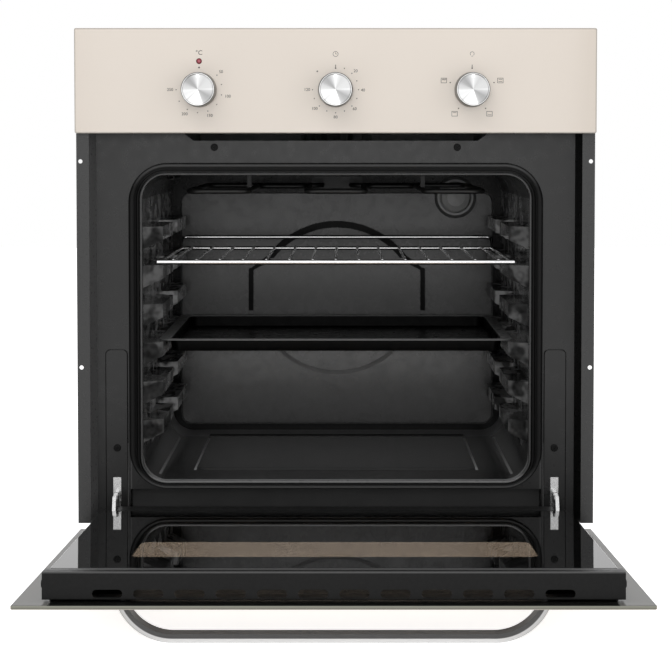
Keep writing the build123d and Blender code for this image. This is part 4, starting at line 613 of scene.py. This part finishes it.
def tray_enamel():
    """The baking tray: black enamel with a paler front and a bright band along its top rim."""
    made = enamel("tray_enamel", grey(3), grey(6), 0.3, 0.05, shine=0.03)
    low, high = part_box("baking_tray")
    parts = made.own()
    made.paint(made.fall(parts["Y"], low.y + TRAY_FACE_D[0], low.y + TRAY_FACE_D[1]), grey(38))
    made.paint(made.rise(parts["Z"], high.z - TRAY_RIM_BELOW[0], high.z - TRAY_RIM_BELOW[1]), grey(110))
    return made.material


def trim_paint():
    """Side trims: painted light on the slope that faces right and painted shade on the one that faces left.
    """
    made = Maker("trim_paint")
    speck = made.noise(0.004, detail=2.0)
    made.set(
        Base_Color=made.mottle(speck, grey(28), grey(33)),
        Roughness=made.spread(speck, 0.26, 0.34),
    )
    facing = made.own("Normal")["X"]
    # Painted light on the slope that faces right, painted shade on the slope that faces left.
    made.paint(made.rise(facing, 0.2, 0.5), grey(84))
    made.paint(made.fall(facing, -0.5, -0.2), grey(10))
    right = made.spread(facing, 0.5, 0.1, 0.1, 0.4)
    left = made.spread(facing, 0.1, 1, -0.4, -0.1)
    made.set(Specular_IOR_Level=made.both(right, left))
    return made.material


LAMP_RING_R = (0.0241, 0.0249)


def lamp_ring():
    """The lamp's seat: pale inside and a thin dark ring round it."""
    made = Maker("lamp_ring")
    parts = made.own()
    x, z = axis_of("lamp_holder")
    reach = made.length(made.minus(parts["X"], x), made.minus(parts["Z"], z))
    speck = made.noise(0.004, detail=2.0)
    dark = made.mottle(speck, grey(30), grey(36))
    made.set(
        Base_Color=made.blend(made.rise(reach, *LAMP_RING_R), grey(198), dark),
        Roughness=made.spread(speck, 0.3, 0.4),
        Specular_IOR_Level=0.15,
    )
    return made.material


def frosted_glass():
    """The lamp's pressed glass cover."""
    made = Maker("frosted_glass")
    swirl = made.noise(0.006)
    made.set(
        Base_Color=made.mottle(swirl, grey(194), tone(204, 204, 203)),
        Roughness=made.spread(swirl, 0.3, 0.42),
        Transmission_Weight=0.08,
        Specular_IOR_Level=0.3,
        Normal=made.bump(swirl, 0.05, 0.0005),
    )
    return made.material


# Painted highlight and shade greys across the seal, from its inner to its outer edge
SEAL_TOP_LIGHT_SHADE = [
    (0.0, 60), (0.06, 40), (0.17, 30), (0.27, 30), (0.38, 52), (0.48, 44), (0.6, 50), (0.7, 76), (0.83, 80),
    (0.92, 26), (1.0, 14),
]
SEAL_SIDE_LIGHT_SHADE = [
    (0.0, 10), (0.1, 20), (0.2, 8), (0.3, 8), (0.38, 24), (0.5, 30), (0.65, 30), (0.78, 22), (0.85, 16),
    (1.0, 14),
]
SEAL_BOTTOM_LIGHT_SHADE = [
    (0.0, 30), (0.15, 16), (0.24, 18), (0.3, 76), (0.47, 80), (0.6, 68), (0.76, 50), (0.83, 16), (1.0, 16),
]


def seal_rubber():
    """Black silicone of the seal, with painted highlights and shade across its bead, brighter above and below
    than at the sides.
    """
    made = Maker("seal_rubber")
    parts = made.own("UV")
    share = parts["X"]
    lean = made.minus(made.both(parts["Y"], 2.0), 1.0)
    grain = made.noise(0.0015, detail=2.0)
    # Painted highlight and shade across the bead, the top and bottom runs lighter than the sides.
    side = made.greys(share, SEAL_SIDE_LIGHT_SHADE)
    made.set(
        Base_Color=made.blend(made.rise(lean, 0.4, 0.95), side, made.greys(share, SEAL_TOP_LIGHT_SHADE)),
        Roughness=made.spread(grain, 0.45, 0.6),
        Specular_IOR_Level=0.08,
    )
    made.paint(made.fall(lean, -0.95, -0.4), made.greys(share, SEAL_BOTTOM_LIGHT_SHADE))
    return made.material


# Door

GLASS_TINT = tone(231, 225, 218)
WINDOW_CORNER = 0.012
WINDOW_SOFT = 0.0006
# Half width, lowest and highest place up the door
OUTER_WINDOW = (0.2155, 0.1016, 0.36)
INNER_WINDOW = (0.2, 0.105, 0.3735)


def window_mask(made, across, up, window):
    """1 in a rounded window in the door, measured across and up the closed door."""
    away = outline_distance(made, across, up, *window, WINDOW_CORNER)
    return made.fall(away, -WINDOW_SOFT, WINDOW_SOFT)


def see_through(made, window):
    """Opens a clear window in a pane printed on the face that light enters, with that face's sheen."""
    clear = made.node("ShaderNodeBsdfTransparent", {"Color": GLASS_TINT}).outputs[0]
    shine = made.node("ShaderNodeBsdfGlossy", {"Roughness": 0.015, "Color": (1, 1, 1, 1)}).outputs[0]
    leaving = made.node("ShaderNodeNewGeometry").outputs["Backfacing"]
    mirror = made.node("ShaderNodeFresnel", {"IOR": GLASS_IOR}).outputs[0]
    mirror = made.both(mirror, made.minus(1.0, leaving))
    pane = made.node("ShaderNodeMixShader", {0: mirror, 1: clear, 2: shine}).outputs[0]
    inputs = {0: made.either(window, leaving), 1: made.shader.outputs[0], 2: pane}
    mixed = made.node("ShaderNodeMixShader", inputs).outputs[0]
    made.feed(made.output.inputs["Surface"], mixed)


# Depths in the outer pane: its print, and how its edge lightens inwards
PRINT_D = (0.0030, 0.0036)
EDGE_D = (0.0004, 0.0036)
EDGE_WIDTH = (0.0006, 0.0002)
INNER_GLASS_HALF = 0.262
INNER_GLASS_SOFT = 0.002


def outer_door_glass():
    """Cream outside, grey print inside with painted shade where it lies under the inner pane, with a clear
    window.
    """
    made = Maker("door_outer_glass_print")
    across, up, deep = door_coordinates(made)
    facing_in = made.rise(deep, *PRINT_D)
    cloud = made.noise(0.15, detail=1.0)
    # Painted shade on the inner print where the inner pane lies over it.
    under = made.fall(made.size(across), INNER_GLASS_HALF, INNER_GLASS_HALF + INNER_GLASS_SOFT)
    print_and_shade_grey = made.mottle(cloud, tone(106, 105, 102), tone(114, 112, 109))
    print_and_shade_grey = made.blend(under, print_and_shade_grey, tone(24, 24, 23))
    made.set(
        Base_Color=made.blend(facing_in, made.mottle(cloud, *CREAM), print_and_shade_grey),
        Roughness=made.spread(cloud, 0.18, 0.24),
        Specular_IOR_Level=made.spread(facing_in, 0.3, 0.06, 0, 1),
    )
    top = door_reach("door_outer_glass")[1]
    edge = made.rise(up, top - EDGE_WIDTH[0], top - EDGE_WIDTH[1])
    made.paint(edge, made.blend(made.rise(deep, *EDGE_D), tone(108, 106, 96), tone(150, 150, 138)))
    see_through(made, window_mask(made, across, up, OUTER_WINDOW))
    return made.material


def inner_door_glass():
    """Clear pane with a black printed border."""
    made = Maker("door_inner_glass_print")
    across, up, _ = door_coordinates(made)
    speck = made.noise(0.004, detail=2.0)
    made.set(Base_Color=made.mottle(speck, grey(10), grey(16)), Roughness=made.spread(speck, 0.015, 0.03))
    see_through(made, window_mask(made, across, up, INNER_WINDOW))
    return made.material


# Distances from the profile's face and its two edges
PROFILE_FACE = (0.0018, 0.0010)
PROFILE_NEAR_EDGE = (0.0030, 0.0022)
PROFILE_FAR_EDGE = (0.0090, 0.0100)


def door_profile_paint():
    """Matt black profile along the door's top, with light lines where its edges catch the lamps."""
    made = Maker("door_profile_paint")
    _, up, deep = door_coordinates(made)
    low, high, _, inside = door_reach("door_top_profile")
    speck = made.noise(0.004, detail=2.0)
    made.set(
        Base_Color=made.mottle(speck, grey(26), grey(31)),
        Roughness=made.spread(speck, 0.3, 0.4),
        Specular_IOR_Level=0.1,
    )
    near_edge = made.rise(up, high - PROFILE_NEAR_EDGE[0], high - PROFILE_NEAR_EDGE[1])
    far_edge = made.fall(up, low + PROFILE_FAR_EDGE[0], low + PROFILE_FAR_EDGE[1])
    on_face = made.rise(deep, inside - PROFILE_FACE[0], inside - PROFILE_FACE[1])
    made.paint(made.both(on_face, made.either(near_edge, far_edge)), grey(84))
    return made.material


# The bar's straight run, and the centre and radius of its bends
HANDLE_STRAIGHT = 0.151
HANDLE_BEND_DEEP = 0.0192
HANDLE_BEND_R = 0.0525
HANDLE_BEND_RUN = 0.05
HANDLE_ROUND = (-0.0007, 0.0001)


def handle_metal():
    """Brushed bar: dark flat sides and a bright rounded outside, both painted reflections, the bright one
    dimmer along the bends.
    """
    made = Maker("handle_metal")
    across, _, deep = door_coordinates(made)
    past = made.either(made.minus(made.size(across), HANDLE_STRAIGHT), 0.0)
    proud = made.minus(made.length(past, made.minus(HANDLE_BEND_DEEP, deep)), HANDLE_BEND_R)
    strokes = made.noise(0.0012, detail=3.0, stretch=(0.12, 3, 3))
    bend = made.rise(past, 0.0, HANDLE_BEND_RUN)
    # Painted reflection: the rounded outside bright, dimmer along the bends, over the flat sides' dark
    # painted reflection.
    bright = made.blend(made.both(bend, 0.6), made.mottle(strokes, grey(200), grey(210)), grey(140))
    made.set(
        Base_Color=made.mottle(strokes, grey(84), grey(92)),
        Metallic=made.spread(proud, 0.2, 0.9, *HANDLE_ROUND),
        Roughness=made.spread(strokes, 0.3, 0.4),
        Specular_IOR_Level=0.15,
    )
    made.paint(made.rise(proud, *HANDLE_ROUND), bright)
    return made.material


MATERIALS = {
    "cream": painted_glass(),
    "door_outer": outer_door_glass(),
    "door_inner": inner_door_glass(),
    "frame_enamel": frame_enamel(),
    "ceiling_enamel": enamel("ceiling_enamel", grey(26), grey(31), 0.3, 0.06, shine=0.2).material,
    "side_enamel": side_enamel(),
    "floor_enamel": floor_enamel(),
    "back_enamel": back_enamel(),
    "tray_enamel": tray_enamel(),
    "duct_paint": coated("duct_paint", grey(186), grey(198), 0.4, grain=0.004, bump=0.02,
                         Specular_IOR_Level=0.15),
    # Dark grey on the casing's base as painted shade under the oven's mouth.
    "base_painted_shade": coated("base_painted_shade", grey(62), grey(70), 0.35, grain=0.004, bump=0.02,
                         Specular_IOR_Level=0.12),
    "trim_paint": trim_paint(),
    "screw_black": coated("screw_black", grey(10), grey(14), 0.4, patch=0.003, bump=0.02,
                          Specular_IOR_Level=0.1),
    "door_profile": door_profile_paint(),
    "profile_black": coated("profile_black", grey(26), grey(31), 0.35, grain=0.004, bump=0.02,
                            Specular_IOR_Level=0.1),
    "control_plastic": coated("control_plastic", tone(20, 20, 22), tone(34, 34, 36), 0.5),
    "zinc": galvanised(),
    "steel": brushed("bright_steel", grey(176), grey(214), 0.24, (1, 6, 1)),
    "latch_steel": brushed("latch_steel", grey(96), grey(132), 0.3, (1, 6, 1)),
    "handle": handle_metal(),
    "chrome": brushed("rack_chrome", grey(184), grey(206), 0.12, (1, 1, 1)),
    "element": coated("element_sheath", grey(22), tone(27, 27, 26), 0.4, Specular_IOR_Level=0.3),
    "lamp_ring": lamp_ring(),
    "knob": spun_metal(),
    "lens": lens_plastic(),
    "clear": clear_glass("lamp_glass", tone(235, 236, 234), 0.06),
    "wool": mineral_wool(),
    "rubber": seal_rubber(),
    "frosted": frosted_glass(),
    "ink": coated("dial_ink", tone(58, 55, 52), tone(70, 67, 63), 0.5, grain=0.0005),
}

NODE_MATERIALS = {
    "cream": ["fascia_glass"],
    "door_outer": ["door_outer_glass"],
    "door_inner": ["door_inner_glass"],
    "frame_enamel": ["front_frame"],
    "ceiling_enamel": ["cavity_ceiling"],
    "side_enamel": ["cavity_side_left", "cavity_side_right"],
    "floor_enamel": ["cavity_floor"],
    "back_enamel": ["cavity_back"],
    "base_painted_shade": ["casing_base"],
    "duct_paint": ["air_duct", "fan_housing", "fan_impeller", "fan_motor"],
    "tray_enamel": ["baking_tray"],
    "trim_paint": ["side_trim_left", "side_trim_right"],
    "screw_black": ["casing_screws", "door_buffers"],
    "door_profile": ["door_top_profile"],
    "profile_black": ["door_bottom_profile", "door_side_profile_left", "door_side_profile_right"],
    "latch_steel": ["hinge_latch_left", "hinge_latch_right"],
    "control_plastic": ["thermostat", "timer", "function_switch", "cable_gland"],
    "zinc": ["fascia_carrier", "casing_left", "casing_right", "casing_rear", "casing_top", "terminal_box"],
    "steel": ["hinge_receiver_left", "hinge_receiver_right", "hinge_arm_left", "hinge_arm_right",
              "hinge_channel_left", "hinge_channel_right", "hinge_springs", "handle_screws",
              "temperature_shaft", "timer_shaft", "function_shaft"],
    "handle": ["handle"],
    "chrome": ["wire_rack"],
    "element": ["grill_element", "bottom_element", "thermostat_bulb"],
    "lamp_ring": ["lamp_holder"],
    "knob": ["temperature_knob", "timer_knob", "function_knob"],
    "lens": ["pilot_lamp"],
    "frosted": ["lamp_cover"],
    "clear": ["lamp_bulb"],
    "wool": ["insulation"],
    "rubber": ["door_gasket"],
}


def dress_nodes():
    for key, nodes in NODE_MATERIALS.items():
        for node in nodes:
            slots = NODES[node].data.materials
            slots.clear()
            slots.append(MATERIALS[key])


# Mesh pieces


def piece(name, made, material, body, smooth=True):
    """An object from a bmesh, dressed and riding on a body."""
    mesh = bpy.data.meshes.new(name)
    bmesh.ops.recalc_face_normals(made, faces=made.faces)
    made.to_mesh(mesh)
    made.free()
    for face in mesh.polygons:
        face.use_smooth = smooth
    obj = bpy.data.objects.new(name, mesh)
    bpy.context.scene.collection.objects.link(obj)
    obj.data.materials.append(MATERIALS[material])
    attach(obj, body)
    return obj


def close_rings(made, rings):
    """Quads between closed rings of points, each ring to the next and the last to the first."""
    rows = [[made.verts.new(point) for point in ring] for ring in rings]
    count = len(rows[0])
    for first, second in zip(rows, rows[1:] + rows[:1]):
        for k in range(count):
            after = (k + 1) % count
            made.faces.new((first[k], first[after], second[after], second[k]))


# Door seal: a swept rubber section with a rounded outer bead, a groove and an inner lip

SEAL_CORNER_STEPS = 20
# Shares of the seal's width outwards and of its depth to the front
SEAL_SECTION = [
    (0.00, 0.00), (0.00, 0.55), (0.05, 0.78), (0.14, 0.86), (0.22, 0.74), (0.28, 0.45), (0.34, 0.36),
    (0.42, 0.48), (0.50, 0.76), (0.60, 0.95), (0.71, 1.00), (0.82, 0.94), (0.91, 0.76), (0.97, 0.50),
    (1.00, 0.25), (1.00, 0.00),
]
# Lowest and highest edge over the front's lower edge, and corner radius
SEAL_INNER_HALF = 0.2282
SEAL_INNER = (0.0668, 0.4302, 0.0312)
SEAL_OUTER = (0.0610, 0.4412, 0.046)


def rounded_outline(left, right, low, high, radius):
    """Points round a rectangle with rounded corners, the same count for every size."""
    points = []
    corners = [(right, high, 0), (left, high, 90), (left, low, 180), (right, low, 270)]
    for x, z, start in corners:
        inner_x = x - radius if x == right else x + radius
        inner_z = z - radius if z == high else z + radius
        for k in range(SEAL_CORNER_STEPS + 1):
            angle = math.radians(start + 90 * k / SEAL_CORNER_STEPS)
            points.append((inner_x + radius * math.cos(angle), inner_z + radius * math.sin(angle)))
    return points


def seal_outline(left, right, edges):
    low, high, radius = edges
    return rounded_outline(left, right, FRONT_LOW_Z + low, FRONT_LOW_Z + high, radius)


def seal_lean(k):
    """1 where the seal runs along the top, 0.5 at the sides, 0 at the bottom, for the k-th point round it."""
    corner, step = divmod(k, SEAL_CORNER_STEPS + 1)
    angle = math.radians(90 * corner + 90 * step / SEAL_CORNER_STEPS)
    return 0.5 + 0.5 * math.sin(angle)


def door_seal():
    low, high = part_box("door_gasket")
    inner = seal_outline(-SEAL_INNER_HALF, SEAL_INNER_HALF, SEAL_INNER)
    outer = seal_outline(low.x, high.x, SEAL_OUTER)
    depth = high.y - low.y
    made = bmesh.new()
    where = made.loops.layers.uv.new("sheen")
    places = {}
    rings = []
    for share, proud in SEAL_SECTION:
        ring = []
        for k, ((x0, z0), (x1, z1)) in enumerate(zip(inner, outer)):
            ring.append(Vector((x0 + (x1 - x0) * share, high.y - depth * proud, z0 + (z1 - z0) * share)))
            places[ring[-1].freeze()] = (share, seal_lean(k))
        rings.append(ring)
    close_rings(made, rings)
    for face in made.faces:
        for loop in face.loops:
            loop[where].uv = places[loop.vert.co.copy().freeze()]
    seal = piece("door_seal", made, "rubber", "oven")
    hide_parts("door_gasket")


# Printed dials, a hair in front of the panel's face

INK_PROUD = 0.00005
TEXT_PROUD = 0.00004
TEXT_THICKNESS = 0.00002
TEXT_WEIGHT = 0.00003
TEXT_CURVE_STEPS = 3


def text_mesh(words, size, x, z):
    """Generic dial lettering as flat mesh geometry, centred on a point of the panel's face."""
    curve = bpy.data.curves.new("words", "FONT")
    curve.body = words
    curve.size = size
    curve.align_x = "CENTER"
    curve.align_y = "CENTER"
    curve.extrude = TEXT_THICKNESS
    curve.offset = TEXT_WEIGHT
    curve.resolution_u = TEXT_CURVE_STEPS
    holder = bpy.data.objects.new("words", curve)
    bpy.context.scene.collection.objects.link(holder)
    bpy.context.view_layer.update()
    mesh = bpy.data.meshes.new_from_object(holder)
    bpy.data.objects.remove(holder)
    bpy.data.curves.remove(curve)
    upright = Matrix.Rotation(math.pi / 2, 4, "X")
    mesh.transform(Matrix.Translation((x, FRONT_Y - TEXT_PROUD, z)) @ upright)
    return mesh


def ink_corners(made, points):
    return [made.verts.new((x, FRONT_Y - INK_PROUD, z)) for x, z in points]


def flat_ring(made, x, z, radius, width, start=0.0, end=360.0, steps=32):
    """A printed arc or ring on the panel's face."""
    whole = end - start >= 360
    edges = (radius - width / 2, radius + width / 2)
    rows = []
    for k in range(steps + (0 if whole else 1)):
        angle = math.radians(start + (end - start) * k / steps)
        rows.append(ink_corners(made, [(x + math.cos(angle) * r, z + math.sin(angle) * r) for r in edges]))
    pairs = list(zip(rows, rows[1:]))
    if whole:
        pairs.append((rows[-1], rows[0]))
    for first, second in pairs:
        made.faces.new((first[0], first[1], second[1], second[0]))


def flat_dot(made, x, z, radius, steps=14):
    angles = [2 * math.pi * k / steps for k in range(steps)]
    points = [(x + math.cos(angle) * radius, z + math.sin(angle) * radius) for angle in angles]
    made.faces.new(ink_corners(made, points))


def flat_bar(made, x0, x1, z0, z1):
    made.faces.new(ink_corners(made, ((x0, z0), (x1, z0), (x1, z1), (x0, z1))))


def flat_frame(made, x, z, half_x, half_z, width):
    """A printed rectangle drawn with a line."""
    flat_bar(made, x - half_x, x + half_x, z + half_z - width, z + half_z)
    flat_bar(made, x - half_x, x + half_x, z - half_z, z - half_z + width)
    flat_bar(made, x - half_x, x - half_x + width, z - half_z, z + half_z)
    flat_bar(made, x + half_x - width, x + half_x, z - half_z, z + half_z)


def dial_point(centre, degrees, radius):
    """A point round a dial, clockwise from its top."""
    angle = math.radians(90 - degrees)
    return centre[0] + math.cos(angle) * radius, centre[1] + math.sin(angle) * radius


def dial_print(name, centre, labels, dots, icons):
    """Joins a dial's lettering, dots and pictograms into one printed piece."""
    made = bmesh.new()
    for words, degrees, radius, size in labels:
        x, z = dial_point(centre, degrees, radius)
        mesh = text_mesh(words, size, x, z)
        made.from_mesh(mesh)
        bpy.data.meshes.remove(mesh)
    for degrees, radius, size in dots:
        flat_dot(made, *dial_point(centre, degrees, radius), size)
    for icon, degrees, radius in icons:
        icon(made, *dial_point(centre, degrees, radius))
    piece(name, made, "ink", "oven", smooth=False)


# Pictograms. What lies inside one is given as shares of its half width.
PICTOGRAM = 0.0034
LINE = 0.0005
FRAME_TALL = 0.86
HEAT_WIDE = 0.62
TOP_HEAT = 0.3
BOTTOM_HEAT = -0.42
GRILL_TURNS = 4
GRILL_LEFT = 0.72
GRILL_STEP = 0.36
GRILL_LOW = 0.12
GRILL_HIGH = 0.42
CLOCK_R = 0.0029
CLOCK_LONG_HAND = 0.0019
CLOCK_SHORT_HAND = 0.0014
LAMP_R = 0.0022
LAMP_RISE = 0.0004
LAMP_ARC = (-50, 230)
LAMP_FOOT_HALF = 0.001
LAMP_FOOT_DROP = 0.0026


def icon_frame(made, x, z):
    flat_frame(made, x, z, PICTOGRAM, PICTOGRAM * FRAME_TALL, LINE)


def heat_line(made, x, z, rise):
    half = PICTOGRAM * HEAT_WIDE
    low = z + PICTOGRAM * rise
    flat_bar(made, x - half, x + half, low, low + LINE)


def icon_top_heat(made, x, z):
    icon_frame(made, x, z)
    heat_line(made, x, z, TOP_HEAT)


def icon_bottom_heat(made, x, z):
    icon_frame(made, x, z)
    heat_line(made, x, z, BOTTOM_HEAT)


def icon_both_heat(made, x, z):
    icon_top_heat(made, x, z)
    heat_line(made, x, z, BOTTOM_HEAT)


def icon_grill(made, x, z):
    icon_frame(made, x, z)
    step = PICTOGRAM * GRILL_STEP
    low = z + PICTOGRAM * GRILL_LOW
    high = z + PICTOGRAM * GRILL_HIGH
    for k in range(GRILL_TURNS):
        left = x - PICTOGRAM * GRILL_LEFT + k * step
        level = high if k % 2 else low
        flat_bar(made, left, left + step, level, level + LINE)
        flat_bar(made, left + step - LINE, left + step, low, high + LINE)


def icon_clock(made, x, z):
    flat_ring(made, x, z, CLOCK_R, LINE)
    flat_bar(made, x - LINE / 2, x + LINE / 2, z, z + CLOCK_LONG_HAND)
    flat_bar(made, x, x + CLOCK_SHORT_HAND, z - LINE / 2, z + LINE / 2)


def icon_lamp(made, x, z):
    start, end = LAMP_ARC
    flat_ring(made, x, z + LAMP_RISE, LAMP_R, LINE, start=start, end=end)
    foot = z - LAMP_FOOT_DROP
    flat_bar(made, x - LAMP_FOOT_HALF, x + LAMP_FOOT_HALF, foot, foot + LINE)


# Dials: words or signs, degrees clockwise from the top, and distances from the knob's axis
NUMBER_SIZE = 0.0047
DEGREE_SIGN = ("°C", 0, 0.0418, 0.0074)
TEMPERATURE_NUMBERS = [
    ("50", 51, 0.0322), ("100", 103, 0.0335), ("150", 158, 0.0318), ("200", 211, 0.0322), ("250", 270, 0.033),
]
TEMPERATURE_DOTS = (51, 77, 103, 130, 158, 184, 211, 240, 270)
TEMPERATURE_OFF_DOT = (0, 0.0252, 0.001)
TIMER_NUMBERS = [
    ("20", 47, 0.0312), ("40", 91, 0.0312), ("60", 135, 0.0308), ("80", 180, 0.0312), ("100", 228, 0.0322),
    ("120", 270, 0.0325),
]
TIMER_DOT_COUNT = 13
TIMER_DOT_STEP = 22.5
TIMER_HOLD_DOT = (315, 0.0295, 0.0009)
FUNCTIONS = [(icon_both_heat, 72), (icon_bottom_heat, 144), (icon_top_heat, 216), (icon_grill, 288)]
POINTER = [(0, 0.0245, 0.0009), (0, 0.0262, 0.0006), (0, 0.0278, 0.0006)]
DOT_RING_R = 0.0262
DOT_R = 0.00065
FUNCTION_DOT_R = 0.00075
FUNCTION_RING_R = 0.0338
TOP_ICON_R = 0.0405


def sized(numbers):
    return [(words, degrees, radius, NUMBER_SIZE) for words, degrees, radius in numbers]


def print_dials():
    labels = [DEGREE_SIGN] + sized(TEMPERATURE_NUMBERS)
    dots = [(angle, DOT_RING_R, DOT_R) for angle in TEMPERATURE_DOTS] + [TEMPERATURE_OFF_DOT]
    dial_print("dial_print_temperature", axis_of("temperature_knob"), labels, dots, [])
    dots = [(TIMER_DOT_STEP * k, DOT_RING_R, DOT_R) for k in range(TIMER_DOT_COUNT)]
    dots += POINTER + [TIMER_HOLD_DOT]
    icons = [(icon_clock, 0, TOP_ICON_R)]
    dial_print("dial_print_timer", axis_of("timer_knob"), sized(TIMER_NUMBERS), dots, icons)
    dots = [(angle, DOT_RING_R, FUNCTION_DOT_R) for _, angle in FUNCTIONS] + POINTER
    icons = [(icon, angle, FUNCTION_RING_R) for icon, angle in FUNCTIONS] + [(icon_lamp, 0, TOP_ICON_R)]
    dial_print("dial_print_function", axis_of("function_knob"), [], dots, icons)


# Stage

FLOOR_GLOW = 0.8
FLOOR_REACH = 6.0
WORLD_LIGHT = 0.52
LAMP_AIM = (0, FRONT_Y, 0.25)
# Name, place, width and height, watts
LAMPS = [
    ("lamp_above", (-0.6, FRONT_Y - 1.4, 2.4), (2.4, 1.6), 17),
    ("lamp_right", (2.4, FRONT_Y - 1.6, 1.1), (1.6, 2.2), 9.5),
    ("lamp_front", (-0.03, FRONT_Y - 2.3, 0.75), (1.2, 0.9), 6.5),
]


def rays_to_the_eye(tree):
    """1 for camera, mirror and see-through rays, 0 for the light that falls on things."""
    path = tree.nodes.new("ShaderNodeLightPath").outputs
    seen = path["Is Camera Ray"]
    for kind in ("Is Glossy Ray", "Is Transmission Ray"):
        either = tree.nodes.new("ShaderNodeMath")
        either.operation = "MAXIMUM"
        tree.links.new(seen, either.inputs[0])
        tree.links.new(path[kind], either.inputs[1])
        seen = either.outputs[0]
    return seen


def floor_material():
    """White for the eye and for mirrors, a plain pale surface for the lamps, with the shadow kept."""
    made = Maker("pale_floor")
    made.set(
        Base_Color=made.mottle(made.noise(0.5), grey(246), grey(250)),
        Roughness=0.9,
        Emission_Color=(1, 1, 1, 1),
        Emission_Strength=made.both(rays_to_the_eye(made.tree), FLOOR_GLOW),
    )
    return made.material


def build_floor():
    made = bmesh.new()
    corners = [(-1, -1), (1, -1), (1, 1), (-1, 1)]
    made.faces.new([made.verts.new((x * FLOOR_REACH, y * FLOOR_REACH, FLOOR_Z)) for x, y in corners])
    mesh = bpy.data.meshes.new("floor")
    made.to_mesh(mesh)
    made.free()
    floor = bpy.data.objects.new("floor", mesh)
    bpy.context.scene.collection.objects.link(floor)
    mesh.materials.append(floor_material())


def build_world():
    """A white world for the eye and for mirrors, dimmer as a light."""
    world = bpy.data.worlds.new("studio")
    bpy.context.scene.world = world
    world.use_nodes = True
    tree = world.node_tree
    back = tree.nodes["Background"]
    strength = tree.nodes.new("ShaderNodeMapRange")
    strength.inputs["To Min"].default_value = WORLD_LIGHT
    strength.inputs["To Max"].default_value = 1.0
    tree.links.new(rays_to_the_eye(tree), strength.inputs["Value"])
    tree.links.new(strength.outputs[0], back.inputs["Strength"])
    back.inputs["Color"].default_value = (1, 1, 1, 1)


def build_lamps():
    for name, place, size, power in LAMPS:
        data = bpy.data.lights.new(name, "AREA")
        data.shape = "RECTANGLE"
        data.size, data.size_y = size
        data.energy = power
        lamp = bpy.data.objects.new(name, data)
        bpy.context.scene.collection.objects.link(lamp)
        lamp.location = place
        lamp.rotation_euler = (Vector(LAMP_AIM) - Vector(place)).to_track_quat("-Z", "Y").to_euler()


def build_camera():
    data = bpy.data.cameras.new("camera")
    data.lens = CAMERA_LENS
    data.sensor_width = CAMERA_SENSOR
    data.shift_x = CAMERA_SHIFT_X
    data.shift_y = CAMERA_SHIFT_Y
    data.clip_end = CAMERA_CLIP_END
    camera = bpy.data.objects.new("camera", data)
    bpy.context.scene.collection.objects.link(camera)
    camera.location = (CAMERA_X, FRONT_Y - CAMERA_BEHIND_FRONT, FRONT_LOW_Z + CAMERA_HEIGHT)
    camera.rotation_euler = (math.radians(90 - CAMERA_PITCH_DEG), 0, 0)
    bpy.context.scene.camera = camera


build_camera()
build_world()
build_lamps()
build_floor()
bpy.context.scene.view_settings.view_transform = "Standard"
dress_nodes()
door_seal()
print_dials()
